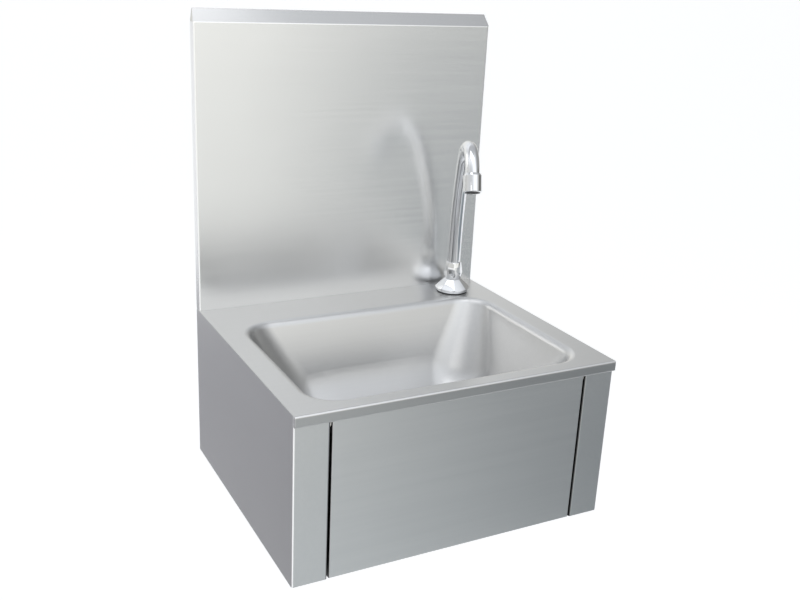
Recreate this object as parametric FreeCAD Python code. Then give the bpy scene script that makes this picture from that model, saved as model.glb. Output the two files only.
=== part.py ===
import FreeCAD
import Part
import math
import os

# Knee-operated hand wash sink in folded stainless steel.
# Millimetres. +X right, +Y to the wall, +Z up. The wall plane is Y = 0 and the origin is the
# centre of the four wall screw holes.

Vec = FreeCAD.Vector
X_AXIS = Vec(1, 0, 0)
Y_AXIS = Vec(0, 1, 0)
Z_AXIS = Vec(0, 0, 1)

# ---- cabinet ----
WIDTH = 400.0               # outside of one side panel to the outside of the other
CABINET_DEPTH = 336.0       # wall to the front returns and the knee panel
CABINET_HEIGHT = 200.0      # underside to the top of the deck
SHEET = 1.0                 # stainless sheet
FOLD_R = 1.3                # inside radius of the large folds
RETURN_WIDTH = 40.5         # front return beside the knee panel
RETURN_INTURN = 16.0        # edge of the front return, turned to the inside
BOTTOM_INTURN = 12.0        # stiffening edge at the foot of a side panel

# ---- wall fixing ----
RAIL_SHEET = 1.5
RAIL_TAB = 15.0             # rail ends, turned forward onto the side panels
FIXING_LOW = 30.0           # lower screws above the underside
FIXING_HIGH = 40.0          # upper screws below the deck
FIXING_SPAN = 240.0         # left to right screws
FIXING_HOLE_R = 4.0
RAIL_HEIGHT = 32.0

# ---- sink top ----
LIP_PROUD = 4.0             # front lip, in front of the cabinet
LIP_HEIGHT = 13.0
LIP_HEM_GAP = 1.0           # lip's folded hem to the knee panel
DECK_TAIL = 14.0            # rear edge turned down at the wall
DECK_EDGE_R = 0.8
SIDE_LEDGE = 25.0           # deck left at each side of the basin's outline
REAR_LEDGE = 74.0
FRONT_LEDGE = 12.0          # cabinet's front to the outline
BASIN_CORNER_R = 43.0       # outline on the deck, with the rim radius
BASIN_RIM_R = 10.0
BASIN_ABOVE_FOOT = 80.0     # basin floor above the cabinet's underside
BASIN_DRAFT = 18.0          # degrees, each wall
BASIN_LOW_CORNER_R = 76.0   # corner at the floor's level, where the length allows it
LOW_STRAIGHT = 5.0          # least straight between two such corners
FLOOR_ROUND = 0.65          # floor radius, share of the depth
DISH_SLOPE = 31.0           # degrees, fall round the waste
DISH_DROP = 2.0
SEAT_DROP = 2.5             # pressed seat of the waste
SEAT_ROOM = 1.2             # radial, round the strainer's flange

# ---- splashback ----
SPLASH_RISE = 352.0         # deck to the top fold
SPLASH_STANDOFF = 12.5      # face in front of the wall
BEVEL_RISE = 15.0
BEVEL_LEFT = 1.0            # what is left of the standoff at the top edge
END_MITRE = 2.0             # each top corner leans in
SPLASH_FOLD_R = 2.2         # outside radius
SPLASH_SCREW_PITCH = 150.0
SPLASH_SCREW_R = 2.0
SPLASH_SCREW = 4.5          # length above the head
SPLASH_HEAD_R = 3.6
SPLASH_HEAD = 2.4

# ---- knee panel ----
PANEL_GAP = 2.0             # dark gap to each front return
PANEL_FLANGE = 20.0         # side flanges, to the inside
PANEL_TOP_COVER = 5.0       # panel hidden behind the lip
PANEL_TOP_INTURN = 9.0
PANEL_FOOT_INTURN = 12.0
PANEL_FOLD_R = 1.2          # outside radius
STOP_LIP = 13.0             # edges turned out behind the returns
STOP_LIP_CUT = 30.0         # lip ends below the panel's top
STOP_OVERLAP = 0.5          # buffer beyond the return's edge
BUFFER_HEIGHT = 20.0
BUFFER_WIDTH = 8.0
BUFFER_RISE = 22.0

# ---- hinge ----
HINGE_DROP = 17.0           # deck to the pin
HINGE_SETBACK = 8.0         # panel face to the pin
PIN_R = 2.5
PIN_HEAD_R = 5.0
PIN_HEAD = 3.0
PIN_CHAMFER = 0.6
PIN_FIT = 0.06              # radial
PIN_HOLE_FIT = 0.15         # radial, pin in the front return
PIN_END = 1.0               # thread beyond the nut
BUSH_WALL = 0.94
BUSH_COLLAR_R = 5.5
BUSH_COLLAR = 1.2
HINGE_NUT_AF = 8.0
HINGE_NUT = 4.0

# ---- knee valve ----
VALVE_RISE = 34.0           # valve axis above the underside
VALVE_RAIL_SETBACK = 38.0   # panel face to the rail's front
VALVE_RAIL_HEIGHT = 56.0
VALVE_RAIL_LEG = 28.0
VALVE_BODY_R = 15.0
VALVE_BODY_LENGTH = 34.0
VALVE_FLANGE_AF = 36.0
VALVE_FLANGE = 6.0
BONNET_R = 13.0
BONNET_REACH = 8.0          # thread in front of the rail
LOCKNUT_AF = 34.0
LOCKNUT = 5.5
VALVE_EDGE = 2.0            # chamfer of the cast bodies
SPIGOT_R = 10.0             # valve's rear spigot under the union nut
BONNET_SEAT_R = 11.0
CHAMBER_R = 7.0
THREAD_CHAMFER = 1.0
STEM_R = 4.0
DISC_R = 6.0                # closing disc on the stem
DISC = 2.5
DISC_BEHIND = 4.5           # flange to the disc
BUTTON_R = 11.0
BUTTON_EDGE = 4.5
BUTTON_DOME_R = 30.0
PAD_R = 16.0
PAD = 6.0
PAD_EDGE_R = 1.5
SPRING_WIRE_R = 0.6
SPRING_R = 8.0
SPRING_TURNS = 4

# ---- mixer and inlets ----
MIXER_SETBACK = 20.0        # back of the valve body to the mixer's axis
MIXER_R = 15.0
MIXER_ABOVE = 16.0
MIXER_BELOW = 15.0
MIXER_TOP_EDGE = 3.0
UNION_AF = 27.0
UNION = 9.0
UNION_LAP = 1.0             # nut over the mixing body
ARM_R = 9.0
INLET_SPREAD = 35.0         # mixer's axis to an inlet's axis
ELBOW_R = 10.0              # arm's bend down to the inlet
INLET_COLLAR = 6.0
INLET_AF = 24.0
INLET_THREAD_R = 10.48      # G1/2
INLET_THREAD = 13.0
INLET_BORE_R = 7.0
SPINDLE_R = 4.0
SPINDLE_GRIP = 7.2          # spindle inside the knob
KNOB_R = 13.0
KNOB_HEIGHT = 12.0
KNOB_EDGE = 1.5
KNOB_FLUTES = 8
FLUTE_R = 2.4
FLUTE_OUT = 1.0             # flute's axis outside the knob's rim

# ---- tap ----
TAP_FROM_SIDE = 51.5
TAP_FROM_WALL = 46.3
SHANK_R = 10.4
SHANK_DROP = 37.0           # below the deck
SHANK_HOLE_R = 11.0
NECK_R = 8.0
NECK_HEIGHT = 30.0
NECK_START = 4.0            # shank's shoulder above the deck
NECK_BORE_R = 6.1
TAP_GASKET = 1.0
GASKET_SETBACK = 1.0        # gasket inside the base's edge
BASE_FOOT_R = 21.8
BASE_WALL = 2.5
BASE_SKIRT = 4.0            # straight inside of the skirt
BASE_RIM = 1.2              # upright rim at the widest height
BASE_ROUND = 0.9            # round form beyond the facets at the top
BASE_CROWN = 5.0            # solid top that the neck passes
BASE_WIDE_R = 23.8
BASE_WIDE_HEIGHT = 7.5
BASE_TOP_R = 10.7
BASE_HEIGHT = 18.0
BASE_FACETS = 8
COLLAR_FOOT_R = 10.5
COLLAR_WIDE_R = 12.3
COLLAR_WIDE_HEIGHT = 27.0
COLLAR_TOP_R = 9.9
COLLAR_HEIGHT = 42.0
COLLAR_SHOULDER = 34.0      # underside of the part that traps the spout
COLLAR_CHAMBER_R = 9.75
COLLAR_FLARE = 3.0          # cone from the neck's bore to the chamber
COLLAR_FACETS = 8
COLLAR_ROUND = 1.045        # turned form over the facets' flat distance
SWIVEL_FIT = 0.07           # radial
TAP_NUT_AF = 27.0
TAP_NUT = 7.0
TAP_WASHER = 2.0
TAP_WASHER_R = 16.7

# ---- spout ----
TUBE_R = 9.0
TUBE_WALL = 1.5
SPOUT_TURN = 22.5           # degrees, towards the basin's middle
SPOUT_STRAIGHT = 45.0       # deck to the start of the bow
BOW_R = 332.0
BOW_ANGLE = 25.5
ARCH_R = 40.0
ARCH_END = 156.5            # degrees from straight up
ARCH_TAIL = 7.0
FOOT_R = 6.0
FOOT_BORE_R = 3.0
FOOT_DROP = 20.0            # spigot inside the neck
FOOT_FLANGE_R = 9.4
FOOT_FLANGE = 2.0
RING_WIRE_R = 1.0
RING_GROOVE = 2.4           # groove's width
RING_HEIGHTS = (5.0, 11.0)  # above the spigot's end
SLIP_FIT = 0.1              # slip ring to its neighbours
PLUG_BELOW_BOW = 1.0        # foot's plug ends below the bow
AERATOR_R = 11.75
AERATOR_LENGTH = 23.5
AERATOR_SOCKET = 6.0
AERATOR_BORE_R = 9.6
AERATOR_RECESS = 1.2
AERATOR_SHOULDER = 3.0
AERATOR_TOP_WALL = 0.9
AERATOR_EDGE = 0.7
AERATOR_SEAL = 1.8          # top of the seat to the gasket's underside
AERATOR_WAY_R = 1.0
AERATOR_FIT = 0.1

# ---- waste ----
WASTE_FLANGE_R = 31.0
WASTE_FLANGE = 2.0
WASTE_EDGE = 1.0            # rolled edge
WASTE_SEAL = 2.0
WASTE_HOLE_R = 22.5
WASTE_CLEAR = 6.0           # least room between the tail and the mixer
PLATE_DROP = 1.5            # slotted plate below the flange
PLATE_SLOPE = 2.0
LOWER_SEAL = 3.0
WASTE_COLLAR = 4.0
WASTE_TAPER = 9.0
WASTE_TAIL_R = 20.95        # G1 1/4
WASTE_TAIL = 62.0
WASTE_BORE_R = 17.5
WASTE_SCREW_R = 3.0
WASTE_HEAD_R = 5.6
WASTE_HEAD = 1.6            # countersink
BRIDGE = 6.0
BRIDGE_LAP = 1.5            # bridge into the wall
BRIDGE_DROP = 1.0
BOSS_R = 6.0
STRAINER_SLOTS = 10
SLOT_WIDTH = 3.6
SLOT_IN = 8.0
SLOT_OUT = 16.5

# ---- supply hose ----
HOSE_R = 5.5
HOSE_INNER_R = 3.5
FERRULE_R = 7.2
FERRULE = 18.0
FERRULE_IN_NUT = 3.0
VALVE_HOSE_AF = 24.0
TAP_HOSE_AF = 27.0
HOSE_NUT = 14.0
NUT_THREAD = 4.0            # thread depth of a hose nut
NUT_ON = 2.0                # thread taken up by the nut
OUTLET_R = 8.0
OUTLET_BORE_R = 5.5
OUTLET_REACH = 20.0         # valve axis to the end of the outlet
OUTLET_BACK = 18.0          # rail to the outlet's axis
HOSE_RUN = 43.0             # straight out of the valve
HOSE_TURN = (15.0, 26.0)    # turn to the wall: inside the tap's plane, behind the outlet
HOSE_SIDE = 78.0            # outlet's axis to the start of the run to the wall
HOSE_REAR = 46.0            # end of that run, in front of the tap
HOSE_SAGS = (2.0, 5.0, 7.0) # three turns below the valve's axis
HOSE_RISE = 60.0            # straight up into the tap
HOSE_BEND = 0.45            # share of a run taken by the bend at its end

# ---- clearances ----
SEAT_GAP = 0.3              # between pieces that only meet
SCREW_FIT = 0.05            # radial, screw in its own thread
HOLE_FIT = 0.25             # radial, screw in a clear hole
TOUCH = 1e-4                # two coordinates that count as equal
NUT_BEVEL = 0.12            # share of a hexagon's flat distance

# ---- levels and planes that follow ----
FIXING_RISE = CABINET_HEIGHT - FIXING_LOW - FIXING_HIGH
BOTTOM = -(FIXING_LOW + FIXING_RISE / 2)
DECK = BOTTOM + CABINET_HEIGHT
FRONT = -CABINET_DEPTH
LIP_FACE = FRONT - LIP_PROUD
HALF = WIDTH / 2
RETURN_EDGE = HALF - RETURN_WIDTH
PANEL_EDGE = RETURN_EDGE - PANEL_GAP
PANEL_TOP = DECK - LIP_HEIGHT + PANEL_TOP_COVER
PANEL_BACK = FRONT + PANEL_FLANGE
HINGE_Z = DECK - HINGE_DROP
HINGE_Y = FRONT + HINGE_SETBACK
VALVE_Z = BOTTOM + VALVE_RISE
PAD_FACE = FRONT + SHEET + PAD
BUTTON_FACE = PAD_FACE + SEAT_GAP
RAIL_FACE = FRONT + VALVE_RAIL_SETBACK
RAIL_REAR = RAIL_FACE + RAIL_SHEET
BONNET_END = RAIL_FACE - BONNET_REACH
VALVE_BACK = RAIL_REAR + VALVE_BODY_LENGTH
MIXER_Y = VALVE_BACK + MIXER_SETBACK
BASIN_WIDTH = WIDTH - 2 * SIDE_LEDGE
BASIN_LENGTH = CABINET_DEPTH - REAR_LEDGE - FRONT_LEDGE
BASIN_Y = -(REAR_LEDGE + BASIN_LENGTH / 2)
FLOOR = BOTTOM + BASIN_ABOVE_FOOT
BASIN_DEPTH = DECK - FLOOR
SEAT = FLOOR - DISH_DROP - SEAT_DROP
SEAT_R = WASTE_FLANGE_R + SEAT_ROOM
WASTE_Y = max(BASIN_Y, MIXER_Y + MIXER_R + WASTE_CLEAR + WASTE_TAIL_R)
TAP_X = HALF - TAP_FROM_SIDE
TAP_Y = -TAP_FROM_WALL
WASTE_TOP = -SHEET - LOWER_SEAL
WASTE_BASE = WASTE_TOP - WASTE_COLLAR - WASTE_TAPER
PLATE_TOP = WASTE_SEAL + WASTE_FLANGE - PLATE_DROP
CROWN = SPLASH_RISE + BEVEL_RISE


# ---- helpers ----
def block(x0, x1, y0, y1, z0, z1):
    """A box between two corners."""
    return Part.makeBox(x1 - x0, y1 - y0, z1 - z0, Vec(x0, y0, z0))


def rod(start, direction, radius, length):
    """A cylinder from a point along a direction."""
    return Part.makeCylinder(radius, length, start, direction)


def aim(shape, start, direction):
    """Puts a shape made along +Z at the origin to start, along direction."""
    turn = FreeCAD.Rotation(Z_AXIS, direction)
    shape.Placement = FreeCAD.Placement(start, turn).multiply(shape.Placement)
    return shape


def turned(profile, start, direction):
    """A lathe part: closed (radius, height) profile spun about the direction."""
    points = [Vec(r, 0, h) for r, h in profile]
    face = Part.Face(Part.makePolygon(points + [points[0]]))
    return aim(face.revolve(Vec(0, 0, 0), Z_AXIS, 360), start, direction)


def tube(radius, bore, z0, z1, start, direction):
    """A ring from height z0 to z1 along the direction."""
    return turned([(bore, z0), (radius, z0), (radius, z1), (bore, z1)], start, direction)


def polygon_ring(apothem, sides, height):
    """A regular polygon wire by its flat-to-centre distance."""
    reach = apothem / math.cos(math.pi / sides)
    angles = [(k + 0.5) * 2 * math.pi / sides for k in range(sides)]
    points = [Vec(reach * math.cos(a), reach * math.sin(a), height) for a in angles]
    return Part.makePolygon(points + [points[0]])


def hexagon(across_flats, z0, z1, bore, start, direction):
    """A hexagon nut with a bore."""
    prism = Part.Face(polygon_ring(across_flats / 2, 6, z0)).extrude(Vec(0, 0, z1 - z0))
    bevel = across_flats / 2 * NUT_BEVEL
    wide = across_flats / 2 / math.cos(math.pi / 6)
    profile = [(0, z0), (wide - bevel, z0), (wide, z0 + bevel)]
    profile += [(wide, z1 - bevel), (wide - bevel, z1), (0, z1)]
    coned = turned(profile, Vec(0, 0, 0), Z_AXIS)
    nut = prism.common(coned).cut(Part.makeCylinder(bore, z1 - z0, Vec(0, 0, z0)))
    return aim(nut, start, direction)


def sheet_profile(points, thickness, inner_r):
    """Folded sheet in plan: points run along one face, the thickness lies to their left."""
    near = []
    far = []
    first = (points[1] - points[0]).normalize()
    last = (points[-1] - points[-2]).normalize()
    near_at = points[0]
    far_at = points[0] + left_of(first) * thickness
    start_cap = (far_at, near_at)
    for before, corner, after in zip(points, points[1:], points[2:]):
        u = (corner - before).normalize()
        w = (after - corner).normalize()
        side = 1 if u.cross(w).z > 0 else -1
        near_r = inner_r + (thickness if side > 0 else 0)
        far_r = inner_r + (0 if side > 0 else thickness)
        run = near_r * math.tan(u.getAngle(w) / 2)
        toward = left_of(u) * side
        centre = corner - u * run + toward * near_r
        out = left_of(w) * side
        middle = (corner - centre).normalize()
        for edges, at, r in ((near, near_at, near_r), (far, far_at, far_r)):
            begin = centre - toward * r
            end = centre - out * r
            edges.append(Part.makeLine(at, begin))
            edges.append(Part.Arc(begin, centre + middle * r, end).toShape())
        near_at = centre - out * near_r
        far_at = centre - out * far_r
    near.append(Part.makeLine(near_at, points[-1]))
    far_end = points[-1] + left_of(last) * thickness
    far.append(Part.makeLine(far_at, far_end))
    caps = [Part.makeLine(*start_cap), Part.makeLine(points[-1], far_end)]
    return Part.Face(Part.Wire(Part.__sortEdges__(near + far + caps)))


def left_of(u):
    """The direction a quarter turn to the left in plan."""
    return Vec(-u.y, u.x, 0)


def across(face, x0, x1):
    """Extrudes a plan face, drawn as (Y, Z), along X."""
    swap = FreeCAD.Matrix(0, 0, 1, x0, 1, 0, 0, 0, 0, 1, 0, 0, 0, 0, 0, 1)
    solid = face.extrude(Vec(0, 0, x1 - x0))
    solid.Placement = FreeCAD.Placement(swap)
    return solid


def mirrored(shape):
    """The same piece on the other side of the middle plane."""
    return shape.mirror(Vec(0, 0, 0), X_AXIS)


def edges_in(shape, x0, x1, y0, y1, z0, z1):
    """Edges that lie wholly inside a box."""
    inside = []
    for edge in shape.Edges:
        b = edge.BoundBox
        if b.XMin < x0 - TOUCH or b.XMax > x1 + TOUCH or b.YMin < y0 - TOUCH:
            continue
        if b.YMax > y1 + TOUCH or b.ZMin < z0 - TOUCH or b.ZMax > z1 + TOUCH:
            continue
        inside.append(edge)
    return inside


def group(shapes):
    """Separate solids in one node."""
    return Part.makeCompound(shapes)


# ---- sink top ----
def rounded_ring(half_x, half_y, corner_r, height):
    """A rounded rectangle about the basin's middle."""
    edges = []
    for sx, sy, start in ((1, 1, 0), (-1, 1, 90), (-1, -1, 180), (1, -1, 270)):
        centre = Vec(sx * (half_x - corner_r), BASIN_Y + sy * (half_y - corner_r), height)
        arc = Part.Circle(centre, Z_AXIS, corner_r)
        edges.append(Part.Arc(arc, math.radians(start), math.radians(start + 90)).toShape())
    ring = []
    for arc, after in zip(edges, edges[1:] + edges[:1]):
        ring.append(arc)
        ring.append(Part.makeLine(arc.lastVertex().Point, after.firstVertex().Point))
    return Part.Wire(ring)


def wall_inset(depth, skin):
    """How far inside the outline a drafted wall is at a depth, below the rim radius."""
    lean = math.radians(BASIN_DRAFT)
    rim_run = BASIN_RIM_R * math.tan((math.pi / 2 - lean) / 2)
    return rim_run + depth * math.tan(lean) - skin / math.cos(lean)


def basin_ring(depth, skin, corner_r):
    """The basin's rounded outline at a depth."""
    inset = wall_inset(depth, skin)
    return rounded_ring(BASIN_WIDTH / 2 - inset, BASIN_LENGTH / 2 - inset, corner_r, DECK - depth)


def basin_form(skin):
    """The pressed basin below its rim: skin 0 is the wet face, skin SHEET the underside."""
    low_length = BASIN_LENGTH - 2 * wall_inset(BASIN_DEPTH, 0)
    low_r = min(BASIN_LOW_CORNER_R, (low_length - LOW_STRAIGHT) / 2)
    high = basin_ring(skin, skin, BASIN_CORNER_R - BASIN_RIM_R + skin)
    low = basin_ring(BASIN_DEPTH + skin, skin, low_r + skin)
    form = Part.makeLoft([high, low], True, True)
    level = FLOOR - skin
    floor_edges = edges_in(form, -HALF, HALF, FRONT, 0, level, level)
    form = form.makeFillet(BASIN_DEPTH * FLOOR_ROUND + skin, floor_edges)
    tall = DISH_DROP + 2 * SEAT_DROP
    seat = rod(waste_at(-skin), Z_AXIS, SEAT_R + skin, tall)
    dish_top = SEAT_R + tall / math.tan(math.radians(DISH_SLOPE))
    dish = Part.makeCone(SEAT_R, dish_top, tall, waste_at(SEAT_DROP - skin), Z_AXIS)
    return form.fuse([dish, seat])


def rimmed(form, flat, level, radius):
    """Joins the basin form to a flat body at a level, with the rim radius between them."""
    joined = form.fuse(flat).removeSplitter()
    rim = edges_in(joined, -BASIN_WIDTH / 2, BASIN_WIDTH / 2, BASIN_Y - BASIN_LENGTH / 2,
                   BASIN_Y + BASIN_LENGTH / 2, level, level)
    return joined.makeFillet(radius, rim)


def make_sink_top():
    under = DECK - SHEET
    hem = LIP_PROUD - LIP_HEM_GAP
    outline = [Vec(0, DECK - DECK_TAIL), Vec(0, DECK), Vec(LIP_FACE, DECK),
               Vec(LIP_FACE, DECK - LIP_HEIGHT), Vec(LIP_FACE + hem, DECK - LIP_HEIGHT)]
    deck = across(sheet_profile(outline, SHEET, FOLD_R), -HALF, HALF)
    for x in (-HALF, HALF):
        side = [e for e in edges_in(deck, x, x, LIP_FACE, 0, DECK, DECK) if e.Length > DECK_TAIL]
        deck = deck.makeFillet(DECK_EDGE_R, side)
    corner = block(HALF - SHEET, HALF, -DECK_TAIL, 0, DECK - DECK_TAIL, under)
    deck = deck.cut(corner.fuse(mirrored(corner)))
    ends = block(HALF - SHEET, HALF, LIP_FACE + SHEET, FRONT, DECK - LIP_HEIGHT + SHEET, under)
    deck = deck.fuse([ends, mirrored(ends)])
    inner = block(-HALF + SHEET, HALF - SHEET, FRONT + SHEET, -SHEET, under, DECK)
    below = rimmed(basin_form(SHEET), inner, under, BASIN_RIM_R - SHEET)
    above = block(-HALF * 2, HALF * 2, FRONT * 2, HALF, DECK, DECK + LIP_HEIGHT)
    wet = rimmed(basin_form(0), above, DECK, BASIN_RIM_R)
    top = deck.fuse(below).cut(wet)
    top = top.cut(rod(waste_at(-2 * SHEET), Z_AXIS, WASTE_HOLE_R, 4 * SHEET))
    top = top.cut(rod(Vec(TAP_X, TAP_Y, under - SHEET), Z_AXIS, SHANK_HOLE_R, 4 * SHEET))
    for x in splash_screw_places():
        top = top.cut(rod(Vec(x, -SPLASH_STANDOFF / 2, under - SHEET), Z_AXIS,
                          SPLASH_SCREW_R + HOLE_FIT, 4 * SHEET))
    return top.removeSplitter()


# ---- cabinet ----
def make_side_panel():
    """The right side panel with its front return; the left one is its mirror image."""
    plan = [Vec(RETURN_EDGE, FRONT + RETURN_INTURN), Vec(RETURN_EDGE, FRONT), Vec(HALF, FRONT), Vec(HALF, 0)]
    face = sheet_profile(plan, SHEET, FOLD_R)
    face.translate(Vec(0, 0, BOTTOM))
    panel = face.extrude(Vec(0, 0, CABINET_HEIGHT - SHEET))
    foot = block(HALF - BOTTOM_INTURN, HALF - SHEET, FRONT + SHEET + FOLD_R, 0, BOTTOM, BOTTOM + SHEET)
    panel = panel.fuse(foot).removeSplitter()
    pin_start = Vec(RETURN_EDGE - SHEET, HINGE_Y, HINGE_Z)
    return panel.cut(rod(pin_start, X_AXIS, PIN_R + PIN_HOLE_FIT, 3 * SHEET))


def plan_ring(edge, y0, y1, height):
    """A level rectangle, from one side's edge to the other's."""
    corners = [Vec(-edge, y0, height), Vec(edge, y0, height), Vec(edge, y1, height), Vec(-edge, y1, height)]
    return Part.makePolygon(corners + [corners[0]])


def splash_block(skin):
    """The splashback's outer form, or with a skin the space behind its sheet."""
    lean = math.atan2(SPLASH_STANDOFF - BEVEL_LEFT, BEVEL_RISE)
    face = skin - SPLASH_STANDOFF
    low = DECK + skin
    fold = DECK + SPLASH_RISE - skin * math.tan(lean / 2)
    crown = DECK + CROWN - skin
    crown_y = face + (crown - fold) * math.tan(lean)
    edge = HALF - skin
    lower = block(-edge, edge, face, skin, low, fold)
    rings = [plan_ring(edge, face, skin, fold), plan_ring(edge - END_MITRE, crown_y, skin, crown)]
    whole = lower.fuse(Part.makeLoft(rings, True, True)).removeSplitter()
    folds = [e for e in edges_in(whole, -edge, edge, face, face, low, fold) if e.BoundBox.ZMax > low + TOUCH]
    return whole.makeFillet(SPLASH_FOLD_R - skin, folds)


def splash_screw_places():
    return [-SPLASH_SCREW_PITCH, 0.0, SPLASH_SCREW_PITCH]


def make_splashback():
    shell = splash_block(0).cut(splash_block(SHEET))
    for x in splash_screw_places():
        shell = shell.cut(rod(Vec(x, -SPLASH_STANDOFF / 2, DECK - SHEET), Z_AXIS,
                              SPLASH_SCREW_R + SCREW_FIT, 3 * SHEET))
    return shell


def make_splash_screws():
    chamfer = SPLASH_HEAD / 2
    profile = [(0, -SPLASH_HEAD), (SPLASH_HEAD_R - chamfer, -SPLASH_HEAD), (SPLASH_HEAD_R, -chamfer),
               (SPLASH_HEAD_R, 0), (SPLASH_SCREW_R, 0), (SPLASH_SCREW_R, SPLASH_SCREW), (0, SPLASH_SCREW)]
    places = [Vec(x, -SPLASH_STANDOFF / 2, DECK - SHEET) for x in splash_screw_places()]
    return group([turned(profile, place, Z_AXIS) for place in places])


def make_back_rail(middle):
    """A rail on the wall plane, its ends turned forward along the side panels."""
    inside = HALF - SHEET
    plan = [Vec(inside, -RAIL_TAB), Vec(inside, 0), Vec(-inside, 0), Vec(-inside, -RAIL_TAB)]
    face = sheet_profile(plan, RAIL_SHEET, FOLD_R)
    face.translate(Vec(0, 0, middle - RAIL_HEIGHT / 2))
    rail = face.extrude(Vec(0, 0, RAIL_HEIGHT))
    for x in (-FIXING_SPAN / 2, FIXING_SPAN / 2):
        rail = rail.cut(rod(Vec(x, -2 * RAIL_SHEET, middle), Y_AXIS, FIXING_HOLE_R, 3 * RAIL_SHEET))
    return rail


def make_valve_rail():
    """The cross rail behind the knee panel that carries the valve."""
    inside = HALF - SHEET
    plan = [Vec(-inside, RAIL_FACE + RAIL_TAB), Vec(-inside, RAIL_FACE), Vec(inside, RAIL_FACE),
            Vec(inside, RAIL_FACE + RAIL_TAB)]
    low = BOTTOM + SHEET
    face = sheet_profile(plan, RAIL_SHEET, FOLD_R)
    face.translate(Vec(0, 0, low))
    rail = face.extrude(Vec(0, 0, VALVE_RAIL_HEIGHT))
    leg_end = inside - RAIL_SHEET - FOLD_R
    leg = block(-leg_end, leg_end, RAIL_REAR, RAIL_FACE + VALVE_RAIL_LEG, low, low + RAIL_SHEET)
    rail = rail.fuse(leg).removeSplitter()
    valve_hole = rod(valve_at(RAIL_FACE - RAIL_SHEET), Y_AXIS, BONNET_R + HOLE_FIT, 3 * RAIL_SHEET)
    return rail.cut(valve_hole)


# ---- knee panel and hinge ----
def panel_block(skin):
    """The panel's tray form, open to the inside."""
    edge = PANEL_EDGE - skin
    front = FRONT + skin
    tray = block(-edge, edge, front, PANEL_BACK + skin, BOTTOM + skin, PANEL_TOP - skin)
    return tray.makeFillet(PANEL_FOLD_R - skin, edges_in(tray, -edge, edge, front, front, BOTTOM, DECK))


def make_knee_panel():
    panel = panel_block(0).cut(panel_block(SHEET))
    inner = PANEL_EDGE - SHEET
    panel = panel.cut(block(-inner, inner, FRONT + PANEL_TOP_INTURN, 0, PANEL_TOP - 2 * SHEET, DECK))
    panel = panel.cut(block(-inner, inner, FRONT + PANEL_FOOT_INTURN, 0, BOTTOM - SHEET, BOTTOM + 2 * SHEET))
    lip = block(PANEL_EDGE - SHEET, PANEL_EDGE + STOP_LIP, PANEL_BACK - SHEET, PANEL_BACK,
                BOTTOM, PANEL_TOP - STOP_LIP_CUT)
    panel = panel.fuse([lip, mirrored(lip)]).removeSplitter()
    hole_r = PIN_R + PIN_FIT + BUSH_WALL
    return panel.cut(rod(Vec(-HALF, HINGE_Y, HINGE_Z), X_AXIS, hole_r, WIDTH))


def both_sides(right):
    return group([right, mirrored(right)])


def hinge_start():
    return Vec(PANEL_EDGE - SHEET, HINGE_Y, HINGE_Z)


def make_hinge_bushes():
    wall_r = PIN_R + PIN_FIT + BUSH_WALL
    bore = PIN_R + PIN_FIT
    profile = [(bore, -BUSH_COLLAR), (BUSH_COLLAR_R, -BUSH_COLLAR), (BUSH_COLLAR_R, 0), (wall_r, 0),
               (wall_r, SHEET), (bore, SHEET)]
    return both_sides(turned(profile, hinge_start(), X_AXIS))


def make_hinge_pin():
    """The right pin: a shoulder screw with its head inside the knee panel."""
    neck = -BUSH_COLLAR - SEAT_GAP
    head = neck - PIN_HEAD
    tip = 2 * SHEET + PANEL_GAP + HINGE_NUT + PIN_END
    profile = [(0, head), (PIN_HEAD_R - PIN_CHAMFER, head), (PIN_HEAD_R, head + PIN_CHAMFER),
               (PIN_HEAD_R, neck), (PIN_R, neck), (PIN_R, tip - PIN_CHAMFER), (PIN_R - PIN_CHAMFER, tip),
               (0, tip)]
    return turned(profile, hinge_start(), X_AXIS)


def make_hinge_washers():
    return both_sides(tube(BUSH_COLLAR_R, PIN_R + SCREW_FIT, SHEET + SEAT_GAP, SHEET + PANEL_GAP,
                           hinge_start(), X_AXIS))


def make_hinge_nuts():
    face = 2 * SHEET + PANEL_GAP
    return both_sides(hexagon(HINGE_NUT_AF, face, face + HINGE_NUT, PIN_R + SCREW_FIT,
                              hinge_start(), X_AXIS))


def make_stop_buffers():
    """Rubber pads on the panel's lips that meet the edges of the returns."""
    inner = RETURN_EDGE - STOP_OVERLAP
    low = BOTTOM + BUFFER_RISE
    right = block(inner, inner + BUFFER_WIDTH, FRONT + RETURN_INTURN + SEAT_GAP, PANEL_BACK - SHEET,
                  low, low + BUFFER_HEIGHT)
    return both_sides(right)


def make_push_pad():
    pad = rod(Vec(0, FRONT + SHEET, VALVE_Z), Y_AXIS, PAD_R, PAD)
    return pad.makeFillet(PAD_EDGE_R, edges_in(pad, -HALF, HALF, PAD_FACE, PAD_FACE, BOTTOM, DECK))


# ---- knee valve ----
def valve_at(y):
    return Vec(0, y, VALVE_Z)


def outlet_axis():
    """Where the valve's side outlet leaves its axis."""
    return valve_at(RAIL_REAR + OUTLET_BACK)


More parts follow.
